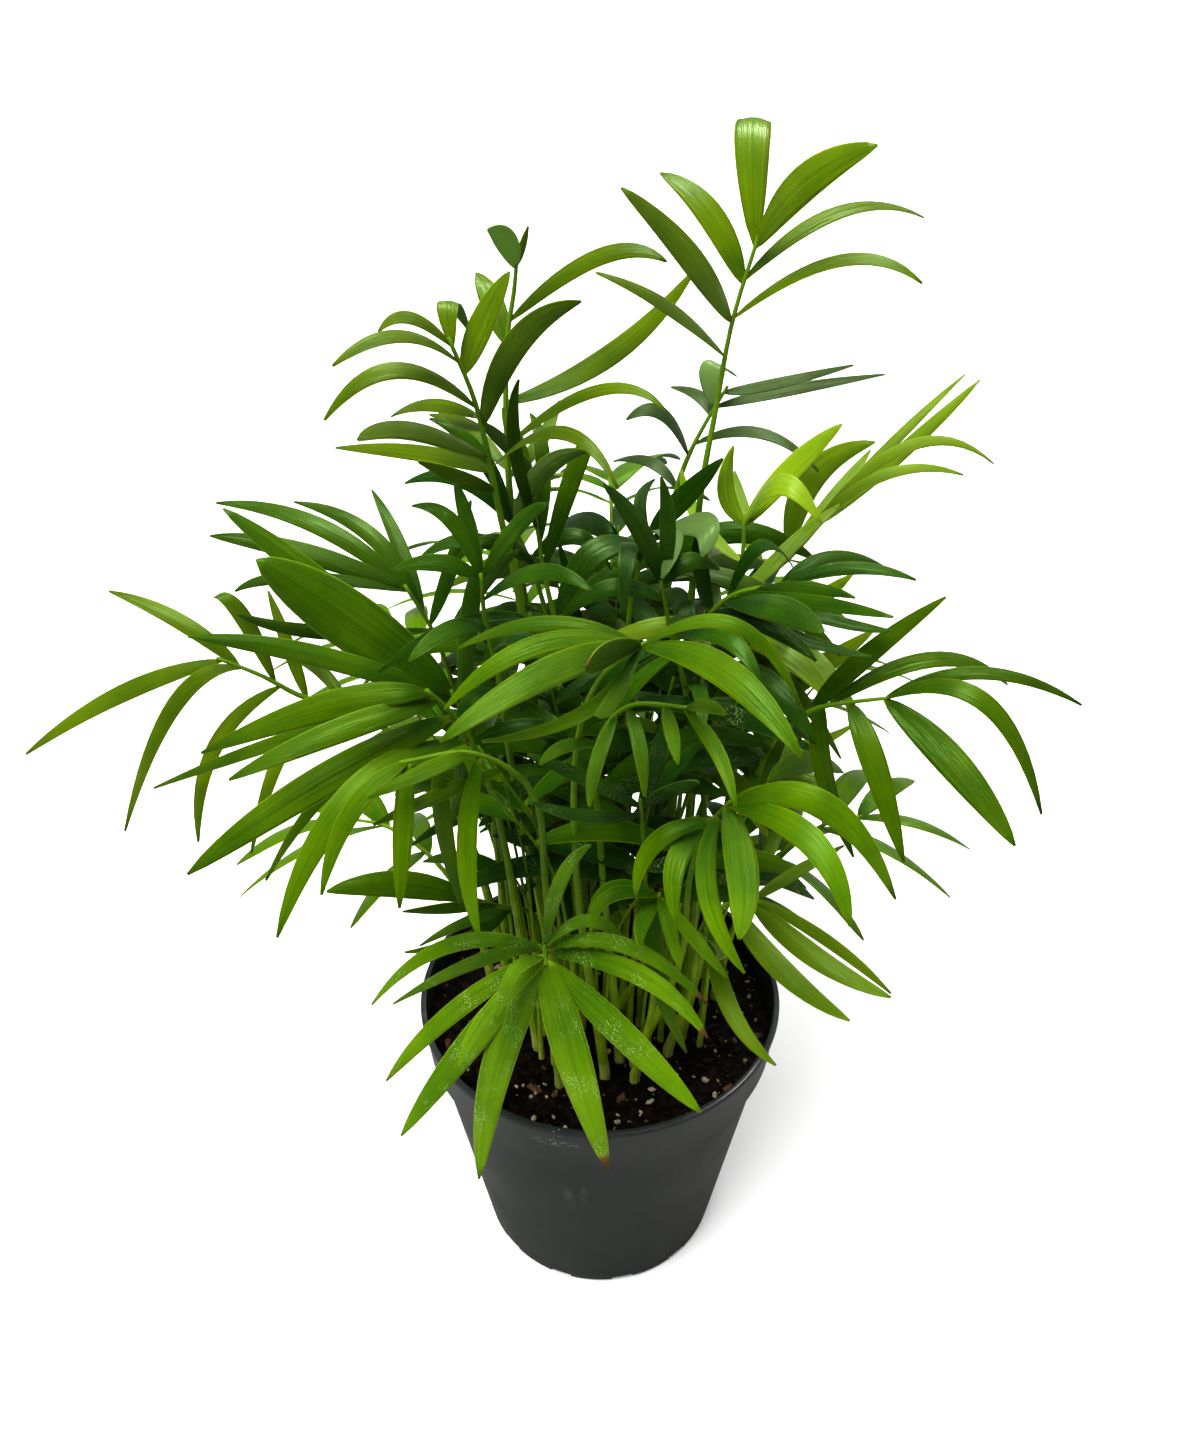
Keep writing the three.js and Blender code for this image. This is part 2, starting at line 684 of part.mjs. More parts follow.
function stalkCurve(frond) {
  const [x, y] = frond.foot;
  const points = [[x, y, stalkStart], ...frond.stalk].map((p) => new THREE.Vector3(...p));
  return new THREE.CatmullRomCurve3(points, false, "centripetal");
}

function buildStalk(frond, curve) {
  const end = curve.points[curve.points.length - 1];
  const across = new THREE.Vector3().subVectors(end, curve.points[0]).cross(new THREE.Vector3(0, 0, 1));
  if (across.length() < 1) across.set(1, 0, 0);
  const rings = [];
  for (let i = -1; i <= stalkSteps; i++) {
    const t = Math.max(0, i) / stalkSteps;
    const centre = curve.getPoint(t);
    const along = i < 0 ? new THREE.Vector3(0, 0, 1) : curve.getTangent(t);
    if (i < 0) centre.z = stalkFootLevel;
    const u = across.clone().addScaledVector(along, -across.dot(along)).normalize();
    const v = new THREE.Vector3().crossVectors(along, u);
    const radius = THREE.MathUtils.lerp(stalkFootRadius, stalkTipRadius, Math.sqrt(t));
    rings.push(
      Array.from({ length: stalkSides }, (_, k) => {
        const turn = (k * 2 * Math.PI) / stalkSides;
        return centre
          .clone()
          .addScaledVector(u, radius * Math.cos(turn))
          .addScaledVector(v, radius * Math.sin(turn));
      }),
    );
  }
  return toSolid(loft(rings));
}

// A blade's middle line, edges and face at each step: narrow at the root, widest near a third,
// drawn out to a point.
function shapeBlade(root, tip, width, rise, bow, light) {
  const middle = root.clone().add(tip).multiplyScalar(0.5).add(new THREE.Vector3(bow, 0, rise));
  const pull = middle.clone().multiplyScalar(2).addScaledVector(root, -0.5).addScaledVector(tip, -0.5);
  const curve = new THREE.QuadraticBezierCurve3(root, pull, tip);
  const steps = root.distanceTo(tip) > longBlade ? longBladeSteps : shortBladeSteps;
  const chord = tip.clone().sub(root).normalize();
  const across = new THREE.Vector3().crossVectors(chord, light);
  if (across.length() < leastCross) {
    const lowLight = new THREE.Vector3(light.x, light.y, 0).normalize().setZ(lowLightHeight);
    across.crossVectors(chord, lowLight);
  }
  return steps.map((t) => {
    const along = curve.getTangent(t);
    const side = across.clone().addScaledVector(along, -across.dot(along)).normalize();
    const face = new THREE.Vector3().crossVectors(side, along);
    const share = Math.pow(Math.sin(Math.PI * Math.pow(t, widestPower)), fullness);
    const centre = curve.getPoint(t).addScaledVector(along, t > 0 ? 0 : -rootDepth);
    return { t, centre, side, face, half: t < 1 ? (width * share) / 2 : 0 };
  });
}

function buildBlade(shape) {
  const up = bladeThickness / 2;
  const rings = shape.map(({ t, centre, side, face, half }) => {
    const at = (s, f) => centre.clone().addScaledVector(side, s).addScaledVector(face, f);
    if (t === 0 || t === 1) return [at(0, up), at(0, -up)];
    return [at(-half, up), at(half, up), at(half, -up), at(-half, -up)];
  });
  return toSolid(loft(rings));
}

// ---- Sharing out the room --------------------------------------------------------------------
const roomSize = roomHigh.clone().sub(roomLow).divideScalar(cell).ceil();
const owner = new Uint8Array(roomSize.x * roomSize.y * roomSize.z);

function cellOf(p, dx = 0, dy = 0, dz = 0) {
  const i = Math.floor((p.x - roomLow.x) / cell) + dx;
  const j = Math.floor((p.y - roomLow.y) / cell) + dy;
  const k = Math.floor((p.z - roomLow.z) / cell) + dz;
  return (k * roomSize.y + j) * roomSize.x + i;
}

function take(points, number, spread) {
  for (const p of points)
    for (let dx = -spread; dx <= spread; dx++)
      for (let dy = -spread; dy <= spread; dy++)
        for (let dz = -spread; dz <= spread; dz++) {
          const c = cellOf(p, dx, dy, dz);
          if (!owner[c]) owner[c] = number;
        }
}

function isFree(points, number) {
  return points.every((p) => {
    const held = owner[cellOf(p)];
    return !held || held === number;
  });
}

function pointsOnBlade(shape) {
  const points = [];
  for (let i = 0; i < shape.length - 1; i++) {
    const a = shape[i];
    const b = shape[i + 1];
    const rows = Math.ceil(a.centre.distanceTo(b.centre) / sampleStep);
    for (let r = 0; r <= rows; r++) {
      const s = r / rows;
      const half = THREE.MathUtils.lerp(a.half, b.half, s);
      const centre = a.centre.clone().lerp(b.centre, s);
      const side = a.side.clone().lerp(b.side, s);
      const across = Math.ceil((2 * half) / sampleStep);
      for (let k = 0; k <= across; k++) {
        points.push(centre.clone().addScaledVector(side, half * ((2 * k) / across - 1)));
      }
    }
  }
  return points;
}

// The blade's shape with its tip where there is room for it, or nothing.
function findRoom(leaflet, curve, light, number) {
  const [at, x, y, z, width, rise, bow] = leaflet;
  const root = curve.getPoint(Math.min(at, deepestRoot));
  for (const short of shortenings)
    for (const swing of swings) {
      const tip = new THREE.Vector3(x, y, z).addScaledVector(swingWay, swing);
      tip.lerp(root, 1 - short);
      const shape = shapeBlade(root, tip, width, rise * short, bow * short, light);
      if (isFree(pointsOnBlade(shape), number)) return shape;
    }
  return null;
}

// ---- Fronds ----------------------------------------------------------------------------------

// Evenly spread numbers between 0 and 1 from a seed.
function makeDraw(seed) {
  let state = seed;
  return () => {
    state = (state * drawFactor) % drawLimit;
    return state / drawLimit;
  };
}

// A filling frond written out like a main one: its stalk arches over, its leaflets stand in pairs
// that shorten towards the end and droop.
function writeOut(filling, draw) {
  const turn = THREE.MathUtils.degToRad(filling.heading);
  const out = new THREE.Vector3(Math.cos(turn), Math.sin(turn), 0);
  const aside = new THREE.Vector3(-Math.sin(turn), Math.cos(turn), 0);
  const [x, y] = filling.foot;
  const rise = filling.height - stalkStart;
  const stalk = archPoints.map(([reach, height]) => [
    x + out.x * filling.reach * reach,
    y + out.y * filling.reach * reach,
    stalkStart + rise * height,
  ]);
  const curve = stalkCurve({ foot: filling.foot, stalk });
  const leaflets = [];
  for (let i = 0; i < filling.pairs; i++) {
    const share = i / (filling.pairs - 1);
    for (const hand of [-1, 1]) {
      const at = firstPair + pairSpan * share + (hand > 0 ? pairOffset : 0);
      const open = THREE.MathUtils.degToRad(openFirst - openLess * share + openVaries * (draw() - 0.5));
      const bulge = middleLonger * Math.sin(Math.PI * share);
      const length = filling.blade * (shortestBlade + bulge + lengthVaries * draw());
      const droop = length * (leastDroop + droopVaries * draw());
      const width = leastWidth + widthVaries * draw();
      const root = curve.getPoint(at);
      const tip = root
        .clone()
        .addScaledVector(out, length * Math.cos(open))
        .addScaledVector(aside, hand * length * Math.sin(open));
      leaflets.push([at, tip.x, tip.y, tip.z - droop, width, length * archShare, 0]);
    }
  }
  const light = [out.x * lightLean, out.y * lightLean, lightHeight];
  return { ...filling, stalk, leaflets, light, colour: midGreen };
}

const draw = makeDraw(drawSeed);
const fronds = [...mainFronds, ...fillingFronds.map((f) => writeOut(f, draw))];

const plant = new THREE.Group();

function addPiece(name, geometry, colour, roughness) {
  const material = new THREE.MeshStandardMaterial({ color: colour, roughness, metalness: 0 });
  const mesh = new THREE.Mesh(geometry, material);
  mesh.name = name;
  plant.add(mesh);
}

addPiece("pot", buildPot(), potBlack, potRoughness);
addPiece("soil", buildSoil(fronds.map((f) => f.foot)), peatBrown, peatRoughness);

const curves = fronds.map(stalkCurve);
curves.forEach((curve, i) => take(curve.getSpacedPoints(stalkSamples), i + 1, stalkSpread));
fronds.forEach((frond, i) => {
  const light = new THREE.Vector3(...(frond.light ?? frontLight)).normalize();
  let solid = buildStalk(frond, curves[i]);
  for (const leaflet of frond.leaflets) {
    const shape = findRoom(leaflet, curves[i], light, i + 1);
    if (!shape) continue;
    take(pointsOnBlade(shape), i + 1, bladeSpread);
    solid = solid.add(buildBlade(shape));
  }
  addPiece(frond.name, toGeometry(solid), frond.colour, leafRoughness);
});

export default plant;
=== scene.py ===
import math
import random
import bmesh
import bpy
from mathutils import Euler, Matrix, Vector, kdtree, noise


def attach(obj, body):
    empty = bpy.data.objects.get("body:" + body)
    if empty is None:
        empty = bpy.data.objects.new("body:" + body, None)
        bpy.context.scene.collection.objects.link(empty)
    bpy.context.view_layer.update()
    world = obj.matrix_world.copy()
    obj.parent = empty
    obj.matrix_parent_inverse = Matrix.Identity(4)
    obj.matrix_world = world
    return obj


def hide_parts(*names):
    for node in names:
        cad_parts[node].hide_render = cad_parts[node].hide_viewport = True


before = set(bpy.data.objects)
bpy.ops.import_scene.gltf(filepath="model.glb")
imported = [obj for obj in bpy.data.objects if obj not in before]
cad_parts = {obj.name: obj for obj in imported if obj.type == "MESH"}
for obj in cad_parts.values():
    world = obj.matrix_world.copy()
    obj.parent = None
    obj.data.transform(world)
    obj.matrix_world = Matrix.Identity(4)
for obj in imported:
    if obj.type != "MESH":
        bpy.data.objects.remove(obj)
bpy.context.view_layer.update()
mm = 0.001
print("frame loaded:", len(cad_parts), "nodes")


studio = {
    "cameraPlace": (0, -0.366, 0.504), "pitchDown": 33, "lens": 30.08, "sensor": 36, "clip": (0.01, 50),
    "skyColour": (1.0, 1.0, 1.0, 1), "skyStrength": 0.22,
}
lights = {
    "keyLight": {"from": (-0.35, -0.3, 1.0), "strength": 4.8, "softness": 45, "lights": "matt"},
    "backLight": {"from": (0.4, 0.7, 0.9), "strength": 1.8, "softness": 70, "lights": "matt"},
    "sheenLight": {"from": (0.15, 0.35, 0.85), "strength": 3.3, "softness": 24, "lights": "gloss"},
}


def addLight(name, s):  # a broad far lamp, so that the floor is lit evenly
    lamp = bpy.data.lights.new(name, "SUN")
    lamp.energy, lamp.angle = s["strength"], math.radians(s["softness"])
    light = bpy.data.objects.new(name, lamp)
    light.location = s["from"]
    light.rotation_euler = (-Vector(s["from"])).to_track_quat("-Z", "Y").to_euler()
    light.visible_diffuse = s["lights"] == "matt"
    light.visible_glossy = s["lights"] == "gloss"
    bpy.context.scene.collection.objects.link(light)


def setCamera(s):
    lensData = bpy.data.cameras.new("camera")
    lensData.lens, lensData.sensor_width = s["lens"], s["sensor"]
    lensData.clip_start, lensData.clip_end = s["clip"]
    camera = bpy.data.objects.new("camera", lensData)
    camera.location = s["cameraPlace"]
    camera.rotation_euler = (math.radians(90 - s["pitchDown"]), 0, 0)
    bpy.context.scene.collection.objects.link(camera)
    bpy.context.scene.camera = camera


def setSky(s):
    world = bpy.data.worlds.new("sky")
    world.use_nodes = True
    sky = world.node_tree.nodes["Background"]
    sky.inputs["Color"].default_value = s["skyColour"]
    sky.inputs["Strength"].default_value = s["skyStrength"]
    bpy.context.scene.world = world
    bpy.context.scene.view_settings.view_transform = "Standard"
    bpy.context.scene.view_settings.look = "Medium High Contrast"


setCamera(studio)
for name, light in lights.items():
    addLight(name, light)
setSky(studio)
print("camera and lights set")


def addNode(tree, kind, values=None, **settings):
    node = tree.nodes.new(kind)
    for key, value in settings.items():
        setattr(node, key, value)
    for key, value in (values or {}).items():
        feed(tree, node.inputs[key], value)
    return node


def feed(tree, socket, value):  # a link from another node, or a plain value
    if isinstance(value, bpy.types.NodeSocket):
        tree.links.new(value, socket)
    else:
        socket.default_value = value


def calc(tree, operation, *values, clamp=False):
    node = addNode(tree, "ShaderNodeMath", operation=operation, use_clamp=clamp)
    for i, value in enumerate(values):
        feed(tree, node.inputs[i], value)
    return node.outputs[0]


def plus(tree, a, b):
    return calc(tree, "ADD", a, b)


def minus(tree, a, b):
    return calc(tree, "SUBTRACT", a, b)


def times(tree, a, b):
    return calc(tree, "MULTIPLY", a, b)


def rampOf(tree, value, low, high, start=0.0, end=1.0):
    node = addNode(tree, "ShaderNodeMapRange", interpolation_type="SMOOTHSTEP")
    values = {"Value": value, "From Min": low, "From Max": high, "To Min": start, "To Max": end}
    for key, item in values.items():
        feed(tree, node.inputs[key], item)
    return node.outputs[0]


def mixColour(tree, factor, a, b):
    node = addNode(tree, "ShaderNodeMix", data_type="RGBA")
    feed(tree, node.inputs[0], factor)
    feed(tree, node.inputs[6], a)
    feed(tree, node.inputs[7], b)
    return node.outputs[2]


def noiseOf(tree, place, scale, detail=3.0, rough=0.5):
    values = {"Vector": place, "Scale": scale, "Detail": detail, "Roughness": rough}
    return addNode(tree, "ShaderNodeTexNoise", values).outputs[0]


def cellsAt(tree, place, scale):  # how far each point is from the middle of its small cell
    values = {"Vector": place, "Scale": scale, "Randomness": 1.0}
    return addNode(tree, "ShaderNodeTexVoronoi", values).outputs["Distance"]


def partsOf(tree, vector):
    return addNode(tree, "ShaderNodeSeparateXYZ", {"Vector": vector}).outputs


def markOf(tree, name):  # a number that a piece's points carry
    return addNode(tree, "ShaderNodeAttribute", attribute_name=name).outputs["Fac"]


def newGroup(name, colours, numbers=()):
    group = bpy.data.node_groups.new(name, "ShaderNodeTree")
    for label in colours:
        group.interface.new_socket(label, in_out="INPUT", socket_type="NodeSocketColor")
    for label in numbers:
        group.interface.new_socket(label, in_out="INPUT", socket_type="NodeSocketFloat")
    group.interface.new_socket("Color", in_out="OUTPUT", socket_type="NodeSocketColor")
    for label in ("Roughness", "Height"):
        group.interface.new_socket(label, in_out="OUTPUT", socket_type="NodeSocketFloat")
    return group, group.nodes.new("NodeGroupInput").outputs


def closeGroup(group, colour, rough, height):
    outs = group.nodes.new("NodeGroupOutput").inputs
    feed(group, outs["Color"], colour)
    feed(group, outs["Roughness"], rough)
    feed(group, outs["Height"], height)
    return group


def newMaterial(name, group, values, bumpDistance, bumpStrength=1.0, **sockets):
    material = bpy.data.materials.new(name)
    material.use_nodes = True
    tree = material.node_tree
    shader = tree.nodes["Principled BSDF"]
    for key, value in sockets.items():
        shader.inputs[key.replace("_", " ")].default_value = value
    pattern = addNode(tree, "ShaderNodeGroup", node_tree=group)
    for key, value in values.items():
        pattern.inputs[key].default_value = value
    tree.links.new(pattern.outputs["Color"], shader.inputs["Base Color"])
    tree.links.new(pattern.outputs["Roughness"], shader.inputs["Roughness"])
    tree.links.new(pattern.outputs["Roughness"], shader.inputs["Coat Roughness"])
    relief = {"Height": pattern.outputs["Height"], "Distance": bumpDistance, "Strength": bumpStrength}
    bump = addNode(tree, "ShaderNodeBump", relief)
    tree.links.new(bump.outputs[0], shader.inputs["Normal"])
    tree.links.new(bump.outputs[0], shader.inputs["Coat Normal"])
    return material


leafPattern = {  # its places are in metres
    "broadVeins": 26.0, "veinStretch": 1.4, "toneShift": 40.0, "fineVeins": 23, "wobbleScale": 35,
    "wobble": 0.05, "cloudScale": 42,
    # the clump's middle, reach and top mark where painted shade darkens the leaves inside the clump
    "clumpShadeMiddle": 0.012, "clumpShadeReach": (0.035, 0.1), "clumpShadeTop": (0.3, 0.38),
    "turnedShare": 0.75, "toneShade": 0.3, "speckScale": 1700.0, "patchScale": 85, "grainScale": 260,
    "speckColour": (0.42, 0.56, 0.2, 1), "dryColour": (0.16, 0.07, 0.02, 1), "dryFrom": (0.925, 0.95),
    "cloudDulls": 0.16, "speckDulls": 0.25, "broadDepth": -0.38, "fineDepth": 0.1, "grainDepth": 0.2,
}


def buildLeafGroup(p):
    group, ins = newGroup("leafSurface", ("Main", "Deep", "Edge", "Pale"), ("Gloss", "Speckles", "Inside"))
    place = addNode(group, "ShaderNodeTexCoord").outputs["Object"]
    leafUv = addNode(group, "ShaderNodeUVMap", uv_map="leafUv").outputs[0]
    along, across = partsOf(group, leafUv)[:2]
    tone, dry, pale = (markOf(group, name) for name in ("tone", "dry", "pale"))
    offCentre = calc(group, "ABSOLUTE", minus(group, across, 0.5))

    # parallel veins: uneven broad streaks and many fine lines
    strip = addNode(group, "ShaderNodeCombineXYZ", {
        "X": times(group, along, p["veinStretch"]), "Y": times(group, across, p["broadVeins"]),
        "Z": times(group, tone, p["toneShift"]),
    }).outputs[0]
    streaks = noiseOf(group, strip, 1.0, 2.5, 0.6)
    wobble = times(group, minus(group, noiseOf(group, place, p["wobbleScale"]), 0.5), p["wobble"])
    fine = calc(group, "SINE", times(group, plus(group, across, wobble), 2 * math.pi * p["fineVeins"]))
    broadLine = rampOf(group, streaks, 0.5, 0.72)
    fineLine = rampOf(group, fine, -0.2, 1.0)

    # clouds of the main and the deep green, deeper towards the root, and painted shade that darkens the
    # leaves inside the clump
    clouds = noiseOf(group, place, p["cloudScale"], 4.0)
    nearRoot = rampOf(group, along, 0.0, 0.45, 0.35, 0.0)
    x, y, z = partsOf(group, place)
    # painted shade: leaves near the clump's axis and below its top are mixed towards the deep green
    behind = minus(group, y, p["clumpShadeMiddle"])
    squares = plus(group, calc(group, "POWER", x, 2.0), calc(group, "POWER", behind, 2.0))
    axisShade = rampOf(group, calc(group, "SQRT", squares), *p["clumpShadeReach"], 0.85, 0.0)
    inside = times(group, axisShade, rampOf(group, z, *p["clumpShadeTop"], 1.0, 0.0))
    inside = times(group, inside, ins["Inside"])
    cloudShare = rampOf(group, clouds, 0.35, 0.68, 0.0, 0.6)
    deepAndShaded = calc(group, "ADD", cloudShare, plus(group, nearRoot, inside), clamp=True)
    colour = mixColour(group, deepAndShaded, ins["Main"], ins["Deep"])

    # veins, middle line, pale edge and root, and the pale underside where a leaf is turned
    colour = mixColour(group, times(group, broadLine, 0.5), colour, ins["Deep"])
    paler = rampOf(group, streaks, 0.46, 0.3, 0.0, 0.16)
    colour = mixColour(group, plus(group, paler, times(group, fineLine, 0.1)), colour, ins["Edge"])
    colour = mixColour(group, rampOf(group, offCentre, 0.012, 0.05, 0.25, 0.0), colour, ins["Deep"])
    colour = mixColour(group, rampOf(group, offCentre, 0.462, 0.492, 0.0, 0.55), colour, ins["Edge"])
    colour = mixColour(group, rampOf(group, along, 0.0, 0.06, 0.7, 0.0), colour, ins["Edge"])
    colour = mixColour(group, times(group, pale, p["turnedShare"]), colour, ins["Pale"])
    # the tone mark lightens or darkens each leaflet: its random tone, plus per frond painted shade deep in
    # the clump and painted light on poorly lit leaves
    shade = plus(group, 1.0, times(group, tone, p["toneShade"]))
    colour = addNode(group, "ShaderNodeHueSaturation", {"Color": colour, "Value": shade}).outputs[0]

    # pale mite specks in patches, and dried tips
    dots = rampOf(group, cellsAt(group, place, p["speckScale"]), 0.16, 0.42, 1.0, 0.0)
    patch = rampOf(group, noiseOf(group, place, p["patchScale"]), 0.5, 0.66)
    speckle = times(group, times(group, dots, patch), ins["Speckles"])
    colour = mixColour(group, speckle, colour, p["speckColour"])
    tipEdge = plus(group, along, times(group, minus(group, clouds, 0.5), 0.06))
    brown = times(group, rampOf(group, tipEdge, *p["dryFrom"]), dry)
    colour = mixColour(group, brown, colour, p["dryColour"])

    rough = plus(group, ins["Gloss"], times(group, clouds, p["cloudDulls"]))
    rough = plus(group, rough, times(group, speckle, p["speckDulls"]))
    height = plus(group, times(group, broadLine, p["broadDepth"]), times(group, fine, p["fineDepth"]))
    grain = noiseOf(group, place, p["grainScale"], 2.0)
    height = plus(group, height, times(group, grain, p["grainDepth"]))
    return closeGroup(group, colour, rough, height)


leafFinishes = {
    "mid": {
        "main": (0.093, 0.183, 0.0004), "deep": (0.014, 0.076, 0.0002), "edge": (0.28, 0.37, 0.004),
        "gloss": 0.24, "coat": 0.05, "speckles": 0.05,
    },
    "olive": {
        "main": (0.106, 0.174, 0.0004), "deep": (0.034, 0.084, 0.0002), "edge": (0.30, 0.37, 0.006),
        "gloss": 0.24, "coat": 0.28, "speckles": 0.05,
    },
    "rich": {
        "main": (0.056, 0.128, 0.0006), "deep": (0.016, 0.064, 0.0003), "edge": (0.2, 0.28, 0.01),
        "gloss": 0.24, "coat": 0.2, "speckles": 0.1,
    },
    "dark": {
        "main": (0.040, 0.108, 0.0008), "deep": (0.0025, 0.036, 0.0004), "edge": (0.13, 0.22, 0.01),
        "gloss": 0.24, "coat": 0.2, "speckles": 0.1,
    },
    "spotted": {
        "main": (0.028, 0.106, 0.003), "deep": (0.003, 0.036, 0.001), "edge": (0.13, 0.22, 0.02),
        "gloss": 0.27, "coat": 0.25, "speckles": 0.9,
    },
    "blue": {
        "main": (0.084, 0.128, 0.026), "deep": (0.024, 0.058, 0.012), "edge": (0.13, 0.20, 0.06),
        "gloss": 0.3, "coat": 0.4, "speckles": 0.0,
    },
    "lime": {
        "main": (0.19, 0.285, 0.004), "deep": (0.078, 0.17, 0.002), "edge": (0.46, 0.54, 0.08),
        # inside: the share of the painted shade inside the clump that this green takes, 1 where not given
        "gloss": 0.27, "coat": 0.2, "speckles": 0.0, "inside": 0.15,
    },
    "speckled": {
        "main": (0.120, 0.230, 0.0008), "deep": (0.024, 0.106, 0.0006), "edge": (0.32, 0.42, 0.02),
        "gloss": 0.27, "coat": 0.22, "speckles": 1.0,
    },
}
underside = {
    "paler": 0.34, "grey": (0.13, 0.20, 0.07), "turned": (0.17, 0.28, 0.08, 1), "gloss": 0.2, "coat": 0.4,
}
leafGroup = buildLeafGroup(leafPattern)


def leafMaterial(kind, isUnder):
    f = leafFinishes[kind]
    share = underside["paler"] if isUnder else 0
    tint = {
        key: tuple(c + (g - c) * share for c, g in zip(f[key], underside["grey"])) + (1,)
        for key in ("main", "deep", "edge")
    }
    return newMaterial(
        kind + ("LeafUnder" if isUnder else "Leaf"), leafGroup,
        {"Main": tint["main"], "Deep": tint["deep"], "Edge": tint["edge"], "Pale": underside["turned"],
         "Gloss": f["gloss"] + (underside["gloss"] if isUnder else 0), "Speckles": f["speckles"],
         # how much painted shade the leaves take inside the clump
         "Inside": f.get("inside", 1.0)},
        bumpDistance=0.0004, bumpStrength=0.6,
        Subsurface_Weight=0.3, Subsurface_Radius=(0.8, 1.0, 0.5), Subsurface_Scale=0.0012,
        Specular_IOR_Level=0.4, Specular_Tint=(0.45, 1.0, 0.1, 1),
        Coat_Weight=f["coat"] * (underside["coat"] if isUnder else 1),
    )


stalkFinish = {  # its places are in metres
    "top": (0.13, 0.27, 0.003, 1), "low": (0.36, 0.54, 0.02, 1), "sheath": (0.62, 0.68, 0.16, 1),
    "shadow": (0.03, 0.08, 0.01, 1), "cloudScale": 90, "cloudShift": 0.03, "greenFrom": (0.13, 0.25),
    "sheathTop": (0.116, 0.134), "ribs": 9, "ribDepth": 0.3,
}


def buildStalkGroup(p):
    group, ins = newGroup("stalkSurface", ("Top", "Low", "Sheath"))
    place = addNode(group, "ShaderNodeTexCoord").outputs["Object"]
    leafUv = addNode(group, "ShaderNodeUVMap", uv_map="leafUv").outputs[0]
    around = partsOf(group, leafUv)[1]
    clouds = noiseOf(group, place, p["cloudScale"])
    level = plus(group, partsOf(group, place)[2], times(group, minus(group, clouds, 0.5), p["cloudShift"]))
    colour = mixColour(group, rampOf(group, level, *p["greenFrom"]), ins["Low"], ins["Top"])
    colour = mixColour(group, rampOf(group, level, *p["sheathTop"], 0.85, 0.0), colour, ins["Sheath"])
    ribs = calc(group, "SINE", times(group, around, 2 * math.pi * p["ribs"]))
    colour = mixColour(group, rampOf(group, ribs, 0.0, 1.0, 0.0, 0.1), colour, ins["Sheath"])
    colour = mixColour(group, rampOf(group, clouds, 0.4, 0.7, 0.0, 0.3), colour, p["shadow"])
    rough = rampOf(group, clouds, 0.2, 0.8, 0.36, 0.52)
    return closeGroup(group, colour, rough, plus(group, times(group, ribs, p["ribDepth"]), clouds))


leafMaterials = {kind: (leafMaterial(kind, False), leafMaterial(kind, True)) for kind in leafFinishes}
stalkMaterial = newMaterial(
    "greenStalk", buildStalkGroup(stalkFinish),
    {"Top": stalkFinish["top"], "Low": stalkFinish["low"], "Sheath": stalkFinish["sheath"]},
    bumpDistance=0.0003, Subsurface_Weight=0.15, Subsurface_Radius=(0.4, 1.0, 0.2), Subsurface_Scale=0.002,
    Specular_IOR_Level=0.4, Specular_Tint=(0.7, 1.0, 0.3, 1),
)
print("leaf materials made")


def addPiece(name, bm, materials, replacedNodes=()):
    mesh = bpy.data.meshes.new(name)
    bm.to_mesh(mesh)
    bm.free()
    for material in materials:
        mesh.materials.append(material)
    piece = bpy.data.objects.new(name, mesh)
    bpy.context.scene.collection.objects.link(piece)
    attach(piece, "root")
    if replacedNodes:
        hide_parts(*replacedNodes)
    return piece


# fronds: the same lengths as the solids', in millimetres
stalk = {
    "start": 121, "foot": 106, "footRadius": 1.9, "tipRadius": 0.62, "taper": 0.5, "steps": 26, "sides": 10,
    "sheathLength": (0.12, 0.22), "sheathSwell": 1.18,
}
blade = {
    "deepestRoot": 0.975, "rootDepth": 0.5, "steps": 16, "lanes": 8, "thickness": 0.32, "pointWidth": 0.35,
    "widestPower": 0.85, "fullness": 0.62, "fold": (0.10, 0.24), "foldPower": 1.4, "twist": 14,
    "untwist": 0.4, "pleat": 0.07, "pleats": 3, "wave": 0.35, "waveLength": 11, "wavePhases": 6.28,
    "toneVaries": 0.35,
}
room = {  # how the solids' blades swing or shorten where another is in the way
    "swings": (0, 4, -4, 8, -8, 12, -12, 17, -17, 23, -23, 30, -30), "way": Vector((0, 0.84, -0.54)),
    "shortenings": (1, 0.85, 0.7, 0.55),
    "ringPlaces": (0.22, 0.45, 0.66, 0.76), "halfThickness": 0.4, "near": 0.06, "leastLikeness": 0.3,
}

